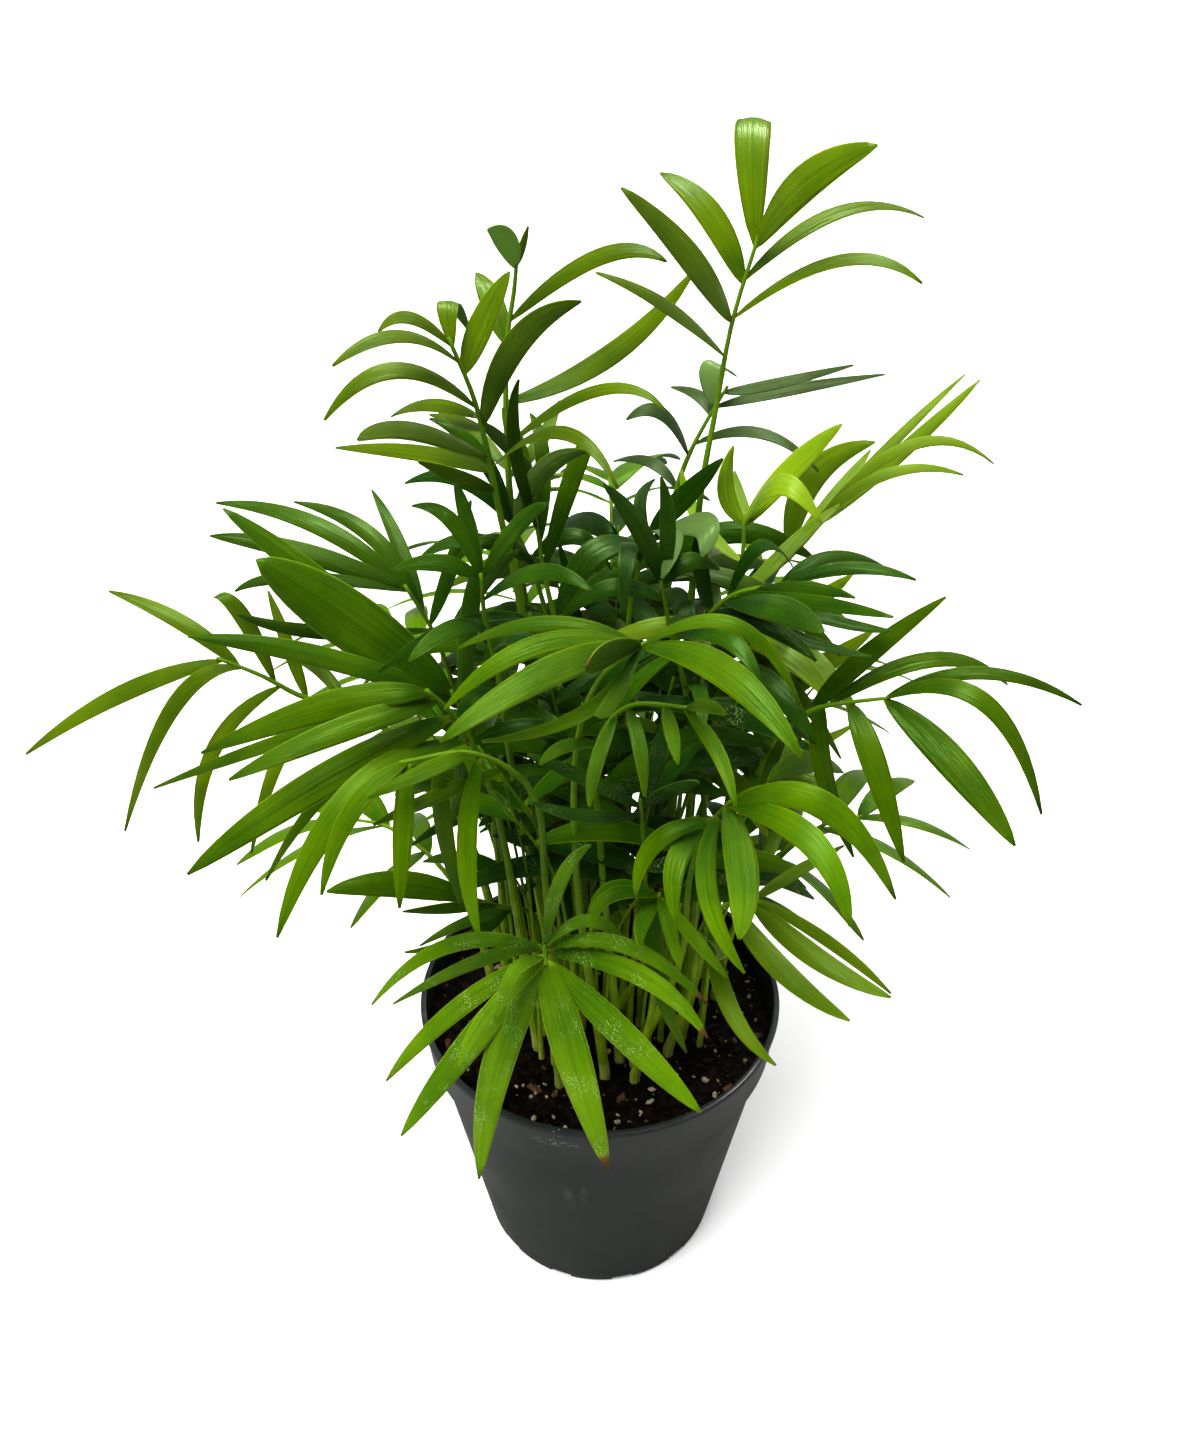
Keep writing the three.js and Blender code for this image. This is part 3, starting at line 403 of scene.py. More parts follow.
# each leaflet: place along the stalk, tip x, y, z, width, rise of its middle, sideways bow
mainFronds = {
    "frond_top_right": {
        "leaf": "mid", "foot": (24, 6),
        "stalk": [(32, 10, 309), (34, 14, 348), (38, 18, 376), (42, 22, 402), (49, 26, 427)],
        "leaflets": [
            (0.99, 56, 74, 442, 11.5, 23, -4),
            (0.98, 77, 0, 456, 12, 4, -4),
            (0.89, 19, 46, 442, 9, 5, 2),
            (0.8, 6, -6, 446, 9.5, 1, 3),
            (0.72, -1, -22, 427, 5.5, 3, 1),
            (0.9, 107, 56, 427, 5, 11, 0),
            (0.81, 96, 4, 418, 4.5, 12, 3),
        ],
    },
    "frond_top_right_back": {
        "leaf": "blue", "foot": (32, 26),
        "stalk": [(25, 40, 310), (28, 46, 336), (32, 48, 348), (37, 50, 358), (45, 52, 372)],
        "leaflets": [
            (0.89, 49, 60, 373, 9, 9, -5),
            (0.97, 88, 50, 380, 4.5, -2, -6),
            (0.9, 107, 82, 367, 4.5, 0, -5),
            (0.68, 76, 30, 349, 4.5, 9, 1),
            (0.86, 26, 70, 366, 5, 2, 3),
            (0.6, 9, 34, 366, 6, 9, 1),
            (0.4, 5, 66, 339, 4.5, 5, 2),
        ],
    },
    "frond_upper_left": {
        "leaf": "mid", "foot": (-16, 8),
        "stalk": [(-27, -6, 318), (-32, -8, 349), (-35, -10, 372), (-38, -12, 389), (-44, -14, 407)],
        "leaflets": [
            (1, -62, -26, 412, 4.5, 6, -1),
            (0.97, -40, 8, 403, 6.5, 11, -3),
            (0.92, -71, -48, 409, 5.5, 8, 1),
            (0.76, -78, -36, 390, 6.5, 13, -1),
            (0.72, -68, 14, 374, 4.5, 4, -1),
            (0.67, -52, 12, 376, 4.5, 0, 0),
            (0.57, -64, -60, 393, 8.5, 6, -3),
            (0.53, -90, 26, 359, 6, 2, 5),
            (0.47, -50, -50, 383, 4.5, 0, 0),
            (0.88, -27, 6, 421, 8, 1, -1),
            (0.68, -5, -46, 425, 7.5, 7, -3),
            (0.54, 5, -52, 376, 4.5, 14, 3),
            (0.7, -21, 26, 347, 4.5, 1, 0),
        ],
    },
    "frond_spear_left": {
        "leaf": "mid", "foot": (-6, 30),
        "stalk": [(-31, 30, 331), (-32, 32, 359), (-31, 36, 391), (-28, 38, 408), (-27, 40, 416)],
        "leaflets": [
            (1, -23, 41, 427, 2.5, 0, 0),
            (0.96, -35, 30, 428, 7.5, 3, 1),
            (0.6, -42, 58, 409, 8, 3, 0),
            (0.68, 21, 28, 419, 6.5, 11, 4),
            (0.48, 33, 66, 409, 8, -6, 4),
            (0.39, 21, 8, 378, 4.5, 13, 5),
            (0.32, -63, 66, 357, 5.5, 4, 1),
            (0.3, -15, 70, 361, 5.5, -1, 2),
        ],
    },
    "frond_young_centre": {
        "leaf": "mid", "foot": (-4, 14),
        "stalk": [(-14, 8, 290), (-19, 12, 316), (-22, 14, 338)],
        "leaflets": [
            (0.94, -24, 0, 391, 4.5, 6, -5),
            (0.86, -25, 28, 378, 5.5, 7, 3),
            (0.72, -3, 12, 364, 7, 15, 3),
            (0.69, -47, -10, 334, 5.5, 10, 0),
        ],
        "loose": [(1, -33, 18, 380, 6.5, 5, 0)],
    },
    "frond_left_arm": {
        "leaf": "mid", "foot": (-34, -8),
        "stalk": [(-54, -18, 243), (-77, -22, 279), (-100, -26, 292), (-111, -28, 301), (-124, -30, 309)],
        "leaflets": [
            (0.99, -184, -50, 285, 6, 5, 0),
            (0.9, -159, -18, 327, 5.5, 3, 2),
            (0.89, -155, -58, 260, 5.5, 18, 1),
            (0.7, -131, -60, 257, 5.5, 7, -7),
            (0.73, -124, -22, 327, 5.5, 10, 0),
            (0.58, -113, 0, 318, 4.5, 0, 0),
            (0.54, -116, -56, 249, 5, 9, -1),
            (0.47, -113, 6, 289, 4.5, 5, 2),
        ],
    },
    "frond_left_upper": {
        "leaf": "dark", "foot": (-30, 14),
        "stalk": [(-46, 8, 242), (-53, 8, 273), (-59, 6, 299), (-67, 4, 318)],
        "leaflets": [
            (1, -127, -6, 341, 7.5, 4, -1),
            (0.97, -134, 26, 339, 6.5, 8, 3),
            (0.89, -109, 34, 336, 6, 7, 6),
            (0.97, -116, -24, 330, 4.5, 5, -8),
            (0.76, -114, -36, 329, 5, -4, -7),
            (0.78, -45, 26, 340, 5.5, 1, 1),
            (0.67, -26, -8, 335, 5, 5, 1),
            (0.84, -84, 50, 334, 5.5, 2, 1),
        ],
    },
    "frond_left_broad": {
        "leaf": "dark", "foot": (-38, 2),
        "stalk": [(-41, -8, 235), (-46, -12, 269), (-51, -16, 288)],
        "leaflets": [
            (1, -107, -26, 342, 19.5, 5, -4),
            (0.97, -119, 2, 344, 9, 7, -5),
            (0.91, -124, -50, 328, 7.5, 5, -1),
            (0.82, -38, -22, 340, 6.5, 7, 0),
        ],
    },
    "frond_left_low": {
        "leaf": "mid", "foot": (-26, -22),
        "stalk": [(-34, -40, 246), (-39, -52, 286), (-45, -60, 307), (-51, -66, 319)],
        "leaflets": [
            (1, -114, -84, 309, 9, 6, 5),
            (0.88, -100, -104, 314, 7.5, 3, 1),
            (0.73, -112, -116, 291, 10, 3, -2),
            (0.58, -86, -130, 281, 8.5, 15, -5),
            (0.94, -143, -56, 276, 4.5, 1, -2),
            (0.69, -102, -86, 263, 4.5, 11, -3),
        ],
    },
    "frond_left_hanging": {
        "leaf": "mid", "foot": (-18, -30),
        "stalk": [(-19, -48, 231), (-22, -62, 280), (-38, -74, 302), (-57, -86, 307)],
        "leaflets": [
            (1, -56, -114, 277, 6, 2, 0),
            (0.76, -63, -104, 308, 5, 2, 3),
            (0.62, -64, -98, 294, 4.5, 0, -1),
            (0.72, -34, -116, 268, 6, -2, -4),
            (0.87, -43, -84, 250, 5.5, 2, -2),
            (0.81, -48, -70, 271, 4.5, 0, 3),
        ],
        "loose": [(0.97, -75, -96, 272, 5.5, 6, -3)],
    },
    "frond_left_bottom": {
        "leaf": "mid", "foot": (-20, -4),
        "stalk": [(-24, -6, 151), (-26, -14, 183), (-37, -34, 206), (-46, -44, 219)],
        "leaflets": [
            (1, -90, -66, 241, 9.5, 5, 0),
            (0.74, -63, -78, 243, 5.5, 0, 0),
            (0.61, -72, -14, 167, 4.5, 4, 1),
        ],
        "loose": [(0.68, -67, -64, 212, 4.5, -4, 3)],
    },
    "frond_front_bright": {
        "leaf": "mid", "foot": (2, -38),
        "stalk": [(-8, -46, 227), (-7, -52, 292), (0, -58, 318), (13, -66, 335)],
        "leaflets": [
            (0.99, -41, -100, 334, 6, 10, -2),
            (1, -39, -124, 340, 8.5, 6, 1),
            (1, -3, -116, 357, 9.5, -1, -2),
            (0.99, -30, -112, 332, 4.5, -6, 6),
            (1, 50, -122, 334, 9, 9, 1),
            (0.98, -41, -66, 333, 4.5, 8, 0),
            (1, 58, -74, 318, 4.5, 17, 3),
            (0.98, -1, -112, 340, 4.5, -7, -2),
        ],
    },
    "frond_front_inner": {
        "leaf": "mid", "foot": (8, -30),
        "stalk": [(0, -40, 242), (-1, -48, 287), (9, -56, 307), (27, -68, 314)],
        "leaflets": [
            (0.74, 13, -86, 295, 4.5, 2, 1),
            (0.9, 22, -88, 308, 4.5, 1, 0),
            (0.97, 37, -104, 305, 4.5, 2, 2),
            (0.99, 35, -84, 322, 4.5, 2, 0),
            (0.62, 26, -30, 312, 4.5, 2, -2),
            (0.68, -3, -92, 296, 4.5, -1, -2),
        ],
        "loose": [(0.51, -18, -74, 298, 4.5, 3, -1)],
    },
    "frond_centre_back": {
        "leaf": "dark", "foot": (4, 4),
        "stalk": [(11, 0, 274), (10, 4, 305), (14, 6, 327), (17, 8, 337)],
        "leaflets": [
            (0.99, 40, 8, 362, 7.5, -1, -1),
            (0.95, 19, 28, 347, 4.5, 2, -4),
            (0.86, -14, -20, 318, 9.5, 10, -3),
            (0.74, 7, -40, 328, 6, 15, -1),
            (0.97, 19, -30, 337, 7.5, 7, 5),
            (0.91, 32, -22, 341, 10.5, 9, 8),
            (0.54, -15, 34, 321, 5.5, -10, -3),
        ],
    },
    "frond_yellow_green": {
        "leaf": "lime", "foot": (36, -4),
        "stalk": [(42, 2, 264), (48, 8, 302), (49, 10, 325), (49, 12, 339)],
        "leaflets": [
            (0.99, 44, 14, 364, 6.5, -2, -4),
            (0.96, 81, 24, 368, 8, 2, -1),
            (0.98, 71, -10, 347, 8.5, 14, -2),
            (0.74, 29, 46, 343, 5, -2, -4),
            (0.58, 88, 46, 330, 5.5, 2, 0),
        ],
    },
    "frond_right_back_light": {
        "leaf": "lime", "foot": (44, 18),
        "stalk": [(56, 26, 258), (59, 36, 287), (68, 46, 305), (84, 56, 319)],
        "leaflets": [
            (1, 145, 88, 363, 6, 0, 1),
            (0.94, 145, 108, 359, 4.5, 0, -2),
            (0.91, 146, 58, 341, 4.5, 21, 0),
            (0.86, 132, 44, 343, 4.5, 13, -2),
            (0.81, 96, 34, 359, 10, 8, -8),
            (0.73, 108, 94, 333, 6, 3, 2),
            (0.63, 54, 92, 325, 6, 4, -2),
        ],
    },
    "frond_right_dark": {
        "leaf": "dark", "foot": (22, -10),
        "stalk": [(29, -6, 269), (34, -10, 308), (43, -12, 322), (62, -14, 328)],
        "leaflets": [
            (1, 100, -24, 334, 4.5, 5, 0),
            (0.96, 98, 8, 323, 4.5, 7, -2),
            (0.86, 77, -42, 337, 4.5, 2, 1),
            (0.77, 85, -58, 339, 5, 1, 1),
            (0.82, 93, -30, 319, 4.5, -3, 4),
            (0.71, 64, -64, 337, 10, 3, 2),
            (0.68, 86, -36, 313, 4.5, -3, 2),
            (0.62, 35, 10, 339, 5.5, 2, -3),
            (0.74, 66, 2, 325, 5, 14, -1),
        ],
    },
    "frond_right_arm": {
        "leaf": "mid", "foot": (34, -18),
        "stalk": [(47, -20, 216), (57, -24, 264), (70, -28, 287), (83, -30, 292), (95, -32, 295)],
        "leaflets": [
            (0.61, 111, -22, 327, 7, -1, -4),
            (0.69, 141, -12, 288, 6, 14, 2),
            (1, 156, -38, 296, 4.5, 11, -2),
            (0.99, 139, -66, 273, 6.5, 21, 3),
            (0.98, 125, -84, 275, 10.5, 3, 1),
            (0.67, 84, -58, 249, 7, 7, -6),
            (0.8, 95, -76, 262, 8.5, 8, -2),
            (0.52, 60, -34, 241, 5, -4, -5),
        ],
    },
    "frond_right_hanging": {
        "leaf": "mid", "foot": (14, -32),
        "stalk": [(30, -40, 185), (31, -48, 231), (34, -58, 260), (40, -70, 281)],
        "leaflets": [
            (0.78, 23, -96, 255, 7, 5, -5),
            (0.89, 42, -114, 252, 6.5, 0, -7),
            (0.97, 38, -124, 275, 10, -1, 3),
            (0.99, 70, -116, 272, 8.5, 9, 6),
            (0.99, 90, -90, 259, 8.5, 18, 2),
            (0.84, 11, -84, 255, 6, 6, -6),
            (0.94, 93, -66, 248, 6, 17, -3),
        ],
    },
    "frond_speckled_small": {
        "leaf": "dark", "foot": (4, -13),
        "stalk": [(18, -30, 180), (16, -40, 224), (13, -58, 273)],
        "leaflets": [
            (0.97, -22, -66, 296, 5, 1, 0),
            (0.94, -21, -84, 292, 4.5, -3, -1),
            (1, 19, -70, 310, 6, 0, 1),
            (0.99, 33, -44, 286, 5, 1, 0),
            (0.97, 28, -90, 303, 5.5, 2, 2),
        ],
    },
    "frond_right_back_low": {
        "leaf": "lime", "foot": (36, 10),
        "stalk": [(41, 10, 170), (42, 14, 209), (39, 18, 235), (44, 22, 251)],
        "leaflets": [
            (0.99, 91, 34, 306, 10.5, 3, -3),
            (0.94, 96, 2, 302, 9.5, -3, -1),
            (0.57, 87, -6, 238, 6, 10, 1),
            (0.46, 104, 24, 189, 6, -13, -1),
        ],
        "loose": [(0.84, 105, 46, 234, 5.5, -7, 4), (0.4, 106, 54, 173, 7, -1, -2)],
    },
    "frond_right_low": {
        "leaf": "mid", "foot": (28, -26),
        "stalk": [(35, -34, 163), (37, -40, 200), (44, -46, 217), (55, -50, 224)],
        "leaflets": [
            (0.99, 102, -66, 194, 4.5, 3, 1),
            (0.94, 96, -84, 211, 8, -4, -1),
            (0.8, 80, -96, 213, 8, -4, -2),
            (0.64, 58, -96, 192, 6.5, -7, -5),
            (0.49, 37, -84, 227, 4.5, -2, 5),
            (1, 87, -32, 233, 4.5, 0, -1),
        ],
    },
    "frond_bottom_front": {
        "leaf": "mid", "foot": (-16, -42),
        "stalk": [(-18, -46, 148), (-19, -54, 189), (-19, -64, 215), (-18, -78, 220)],
        "leaflets": [
            (1, -42, -104, 143, 11.5, 7, -4),
            (0.97, 3, -106, 150, 12.5, 7, -2),
            (0.95, -68, -100, 161, 9.5, 2, -1),
            (0.9, -73, -90, 177, 7, 4, -3),
            (0.68, -78, -76, 199, 5.5, 15, -2),
            (0.93, -33, -104, 221, 4.5, 9, -1),
            (0.95, 34, -100, 173, 9.5, -2, 2),
            (0.66, 36, -88, 196, 7, 9, 5),
            (0.7, 37, -74, 197, 5.5, 14, 0),
            (0.75, 13, -60, 204, 4.5, 15, 1),
            (0.75, -3, -64, 259, 5, 7, -2),
            (0.7, -77, -50, 172, 5, 8, 5),
            (0.97, -44, -112, 210, 5, 1, -4),
        ],
    },
    "frond_right_front_small": {
        "leaf": "mid", "foot": (14, -40),
        "stalk": [(20, -46, 170), (19, -54, 213), (20, -60, 235)],
        "leaflets": [
            (0.94, 13, -80, 230, 5.5, 1, -2),
            (0.97, 26, -86, 225, 4.5, 1, 0),
            (0.97, 40, -74, 217, 4.5, 0, 0),
            (0.96, 31, -74, 171, 7, 4, -6),
            (0.99, -4, -68, 233, 4.5, 8, -3),
            (1, -3, -80, 236, 4.5, 8, -5),
        ],
    },
    "frond_inner_left": {
        "leaf": "dark", "foot": (-12, -14),
        "stalk": [(-31, -24, 264), (-33, -30, 301), (-36, -34, 325), (-36, -38, 343)],
        "leaflets": [
            (0.99, -62, -44, 347, 5.5, 4, 1),
            (0.97, -57, -26, 360, 5, 7, 2),
            (0.99, -45, -18, 366, 5, 2, 0),
            (0.99, -15, -44, 368, 5.5, 5, 1),
            (0.86, -2, -58, 347, 5.5, 8, 1),
            (0.72, -55, -68, 330, 6.5, 5, 1),
            (0.62, -12, -68, 320, 5, 10, 2),
            (0.46, -46, -58, 294, 5, 7, -2),
        ],
    },
    "frond_inner_right": {
        "leaf": "dark", "foot": (27, -3),
        "stalk": [(33, -14, 249), (29, -18, 289), (23, -22, 315), (19, -26, 335)],
        "leaflets": [
            (0.99, 47, -30, 346, 6, 8, -1),
            (0.9, -10, -46, 335, 6, 7, -1),
            (0.71, 49, -54, 314, 6.5, 9, 2),
            (0.66, 0, -58, 314, 5.5, 7, 0),
            (0.51, 31, -62, 297, 5, 9, 2),
        ],
        "loose": [(1, 1, -38, 370, 6, 2, 2), (0.99, 18, -28, 369, 5, 1, 2)],
    },
    "frond_inner_back": {
        "leaf": "dark", "foot": (-14, 22),
        "stalk": [(-14, 14, 265), (-19, 18, 297), (-25, 20, 320), (-31, 22, 334)],
        "leaflets": [
            (1, -69, 34, 343, 6, 9, 2),
            (0.99, -58, 38, 363, 5.5, 7, 3),
            (0.75, 4, 0, 329, 6, 11, 2),
            (0.74, -62, 8, 326, 6, 8, -1),
            (0.54, 6, -6, 298, 5.5, 12, 3),
            (0.5, -43, -2, 296, 5.5, 10, -2),
        ],
        "loose": [(0.96, -3, 2, 360, 6.5, 7, -2)],
    },
}

# the fronds that fill the back and the sides, arching outwards on their own headings
fillingFronds = {
    "frond_back_1": {"heading": 92, "foot": (6, 40), "reach": 62, "height": 318, "pairs": 5, "blade": 58},
    "frond_back_2": {"heading": 66, "foot": (16, 34), "reach": 98, "height": 262, "pairs": 4, "blade": 64},
    "frond_back_3": {"heading": 116, "foot": (-8, 44), "reach": 100, "height": 270, "pairs": 4, "blade": 64},
    "frond_back_4": {"heading": 44, "foot": (32, 38), "reach": 84, "height": 236, "pairs": 4, "blade": 58},
    "frond_back_5": {"heading": 140, "foot": (-24, 34), "reach": 92, "height": 252, "pairs": 4, "blade": 58},
    "frond_back_6": {"heading": 84, "foot": (18, 46), "reach": 74, "height": 196, "pairs": 4, "blade": 58},
    "frond_back_7": {"heading": 122, "foot": (-22, 46), "reach": 66, "height": 190, "pairs": 4, "blade": 56},
    "frond_side_right": {"heading": 14, "foot": (50, 6), "reach": 58, "height": 206, "pairs": 3, "blade": 54},
    "frond_side_left": {
        "heading": 170, "foot": (-48, 16), "reach": 58, "height": 200, "pairs": 3, "blade": 54,
    },
}
arching = {
    "points": ((0.12, 0.45), (0.38, 0.8), (0.7, 0.98), (1, 1)), "firstPair": 0.52, "pairSpan": 0.43,
    "pairOffset": 0.025, "openFirst": 62, "openLess": 34, "openVaries": 10, "shortest": 0.8,
    "middleLonger": 0.25, "lengthVaries": 0.15, "leastDroop": 0.1, "droopVaries": 0.25, "arch": 0.13,
    "leastWidth": 8, "widthVaries": 3, "seed": 8710, "factor": 16807, "limit": 2147483647,
}
lightWay = {  # where the leaves' faces look
    "height": 0.9, "lean": 0.45, "frontHeight": 0.71, "frontLean": 0.7, "lowHeight": 0.3, "leastCross": 0.5,
}
frontLight = Vector((0, -lightWay["frontLean"], lightWay["frontHeight"])).normalized()


class StalkCurve:  # a smooth line through the stalk's points, evenly eased between them
    def __init__(self, foot, points):
        self.points = [Vector((*foot, stalk["start"]))] + [Vector(p) for p in points]

    def at(self, t):
        p = self.points
        place = min(max(t, 0), 1) * (len(p) - 1)
        i = min(int(place), len(p) - 2)
        before = p[i - 1] if i > 0 else 2 * p[0] - p[1]
        after = p[i + 2] if i + 2 < len(p) else 2 * p[-1] - p[-2]
        d0, d1, d2 = ((a - b).length ** 0.5 for a, b in ((before, p[i]), (p[i], p[i + 1]), (p[i + 1], after)))
        slope1 = ((p[i] - before) / d0 - (p[i + 1] - before) / (d0 + d1) + (p[i + 1] - p[i]) / d1) * d1
        slope2 = ((p[i + 1] - p[i]) / d1 - (after - p[i]) / (d1 + d2) + (after - p[i + 1]) / d2) * d1
        s = place - i
        return ((2 * s**3 - 3 * s**2 + 1) * p[i] + (s**3 - 2 * s**2 + s) * slope1
                + (3 * s**2 - 2 * s**3) * p[i + 1] + (s**3 - s**2) * slope2)

    def way(self, t):
        return (self.at(min(t + 0.001, 1)) - self.at(max(t - 0.001, 0))).normalized()


def drawFrom(seed):  # evenly spread numbers between 0 and 1
    state = seed
    while True:
        state = state * arching["factor"] % arching["limit"]
        yield state / arching["limit"]


def writeOut(f, draws):  # a filling frond written out like a main one
    a = arching
    turn = math.radians(f["heading"])
    out, aside = Vector((math.cos(turn), math.sin(turn), 0)), Vector((-math.sin(turn), math.cos(turn), 0))
    foot = Vector((*f["foot"], stalk["start"]))
    rise = f["height"] - stalk["start"]
    points = [foot + out * f["reach"] * r + Vector((0, 0, rise * h)) for r, h in a["points"]]
    curve = StalkCurve(f["foot"], points)
    leaflets = []
    for i in range(f["pairs"]):
        share = i / (f["pairs"] - 1)
        for hand in (-1, 1):
            at = a["firstPair"] + a["pairSpan"] * share + (a["pairOffset"] if hand > 0 else 0)
            varied = a["openVaries"] * (next(draws) - 0.5)
            opening = math.radians(a["openFirst"] - a["openLess"] * share + varied)
            bulge = a["middleLonger"] * math.sin(math.pi * share)
            length = f["blade"] * (a["shortest"] + bulge + a["lengthVaries"] * next(draws))
            droop = length * (a["leastDroop"] + a["droopVaries"] * next(draws))
            width = a["leastWidth"] + a["widthVaries"] * next(draws)
            tip = curve.at(at) + out * length * math.cos(opening) + aside * hand * length * math.sin(opening)
            leaflets.append((at, tip.x, tip.y, tip.z - droop, width, length * a["arch"], 0))
    light = Vector((out.x * lightWay["lean"], out.y * lightWay["lean"], lightWay["height"])).normalized()
    return {"leaf": "mid", "foot": f["foot"], "stalk": points, "leaflets": leaflets, "light": light}


def bladeAt(line, t):  # middle, heading, side and face of a blade at a share of its length
    root, pull, tip, across = line
    centre = (1 - t) ** 2 * root + 2 * t * (1 - t) * pull + t**2 * tip
    along = ((1 - t) * (pull - root) + t * (tip - pull)).normalized()
    side = (across - along * across.dot(along)).normalized()
    return centre, along, side, side.cross(along)


def halfWidth(width, t):
    if not 0 < t < 1:
        return 0
    return width / 2 * math.sin(math.pi * t ** blade["widestPower"]) ** blade["fullness"]


def bladeLine(root, leaflet, light, short, swing):  # root, pull, tip and the way across
    at, x, y, z, width, rise, bow = leaflet
    tip = (Vector((x, y, z)) + room["way"] * swing).lerp(root, 1 - short)
    middle = (root + tip) / 2 + Vector((bow * short, 0, rise * short))
    chord = (tip - root).normalized()
    across = chord.cross(light)
    if across.length < lightWay["leastCross"]:  # it points at its light
        lowLight = Vector((light.x, light.y, 0)).normalized() + Vector((0, 0, lightWay["lowHeight"]))
        across = chord.cross(lowLight)
    return root, 2 * middle - root / 2 - tip / 2, tip, across


def likeness(line, width, tree):  # the share of a blade's corners that the solid has
    thick = room["halfThickness"]
    centre, along, side, face = bladeAt(line, 1)
    corners = [centre + face * thick, centre - face * thick]
    for t in room["ringPlaces"]:
        centre, along, side, face = bladeAt(line, t)
        half = halfWidth(width, t)
        corners += [centre + side * half * s + face * thick * f for s in (-1, 1) for f in (-1, 1)]
    return sum(tree.find(c * mm)[2] < room["near"] * mm for c in corners) / len(corners)


def findLine(root, leaflet, light, tree):  # where the solid's blade has found its room
    best, bestShare = None, room["leastLikeness"]
    for short in room["shortenings"]:
        for swing in room["swings"]:
            line = bladeLine(root, leaflet, light, short, swing)
            share = likeness(line, leaflet[4], tree)
            if share > bestShare:
                best, bestShare = line, share
    return best


def rootOf(frond, leaflet):
    return frond["curve"].at(min(leaflet[0], blade["deepestRoot"]))


def fromSolid(name, frond):  # the frond's blades as lines with widths, placed as its solid has them
    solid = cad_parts[name].data.vertices
    tree = kdtree.KDTree(len(solid))
    for i, v in enumerate(solid):
        tree.insert(v.co, i)
    tree.balance()
    lines, missed = [], 0
    for leaflet in frond["leaflets"]:
        root = rootOf(frond, leaflet)
        line = findLine(root, leaflet, frond["light"], tree)
        if not line:
            missed += 1
            line = bladeLine(root, leaflet, frond["light"], 1, 0)
        lines.append((line, leaflet[4]))
    return lines, missed


space = {"samples": 14, "cell": 4, "lanes": (-0.8, 0, 0.8)}  # small cells that a blade fills


def cellsOf(line, width):
    cells = set()
    for i in range(1, space["samples"] + 1):
        t = i / space["samples"]
        centre, along, side, face = bladeAt(line, t)
        for lane in space["lanes"]:
            p = (centre + side * halfWidth(width, t) * lane) / space["cell"]
            cells.add((math.floor(p.x), math.floor(p.y), math.floor(p.z)))
    return cells


def freest(candidates, taken, mostShared):  # the blade that touches the fewest others
    best, fewest = None, mostShared + 1
    for line, width in candidates:
        shared = len(cellsOf(line, width) & taken)
        if shared < fewest:
            best, fewest = (line, width), shared
    return best


def looseLines(frond, taken):  # leaflets that the solids had no room for
    for leaflet in frond.get("loose", ()):
        root = rootOf(frond, leaflet)
        tries = [(bladeLine(root, leaflet, frond["light"], 1, swing), leaflet[4]) for swing in room["swings"]]
        best = freest(tries, taken, math.inf)
        taken |= cellsOf(*best)
        yield best


def spreadBlades(root, heading, c, light, dice, liftRange):  # random blades from one root, to pick from
    for trial in range(c["trials"]):
        turn = heading + math.radians(dice.uniform(*c["opening"]))
        length, width = dice.uniform(*c["length"]), dice.uniform(*c["width"])
        lift = length * dice.uniform(*liftRange)
        tip = root + Vector((math.cos(turn) * length, math.sin(turn) * length, lift))
        if math.hypot(tip.x, tip.y) < c["tipReach"] and tip.y > c["frontmost"]:
            leaflet = (0, *tip, width, length * dice.uniform(*c["arch"]), 0)
            yield bladeLine(root, leaflet, light, 1, 0), width


crowd = {  # leaflets inside the clump
    "places": 9, "from": 0.42, "to": 0.97, "low": 215, "high": 368, "rootReach": 70, "tipReach": 100,
    "apart": 9, "opening": (28, 152), "length": (42, 80), "width": (6.5, 10), "lift": (-0.5, 0.15),
    "arch": (0.08, 0.22), "trials": 12, "mostShared": 3, "frontmost": -42, "leastLean": 0.2,
    "skipped": ("frond_top_right", "frond_top_right_back", "frond_upper_left", "frond_spear_left"),
}


def hasCrowd(root, roots):  # whether more leaflets may leave the stalk here
    inside = crowd["low"] < root.z < crowd["high"] and math.hypot(root.x, root.y) <= crowd["rootReach"]
    return inside and root.y >= crowd["frontmost"] and all((root - r).length >= crowd["apart"] for r in roots)


def crowdFrond(frond, lines, taken, dice):  # more leaflets where the solids have few
    curve = frond["curve"]
    roots = [line[0] for line, width in lines]
    added = []
    for i in range(crowd["places"]):
        t = crowd["from"] + (crowd["to"] - crowd["from"]) * (i + dice.random()) / crowd["places"]
        root = curve.at(t)
        if not hasCrowd(root, roots):
            continue
        way = curve.way(t)
        leans = way.xy.length > crowd["leastLean"]
        heading = math.atan2(way.y, way.x) if leans else math.atan2(root.y, root.x)
        for hand in (0, math.pi):
            tries = spreadBlades(root, heading + hand, crowd, frond["light"], dice, crowd["lift"])
            best = freest(tries, taken, crowd["mostShared"])
            if best:
                added.append(best)
                taken |= cellsOf(*best)
                roots.append(root)
    return added


shoot = {  # young stems among the fronds
    "groups": (
        {"count": 38, "middle": (4, 0), "reach": 44, "rise": (92, 185), "lean": (0.08, 0.34),
         "lift": (-0.45, 0.2), "tone": -0.2},
        # the tall middle shoots get a lower tone as painted shade inside the clump
        {"count": 17, "middle": (12, 8), "reach": 32, "rise": (170, 208), "lean": (0.02, 0.14),
         "lift": (-0.5, 0.02), "tone": -1.0},
    ),
    "apart": 5, "headingVaries": 0.7, "points": ((0.1, 0.35), (0.35, 0.7), (1, 1)), "slimness": (0.5, 0.72),
    "leaflets": ((0.99, -25), (0.97, 35), (0.88, -80), (0.86, 85), (0.78, 150)),
    "opening": (-25, 25), "length": (38, 70), "width": (6, 9.5), "arch": (0.08, 0.22),
    "tipReach": 90, "frontmost": -40, "trials": 8, "mostShared": 4,
}


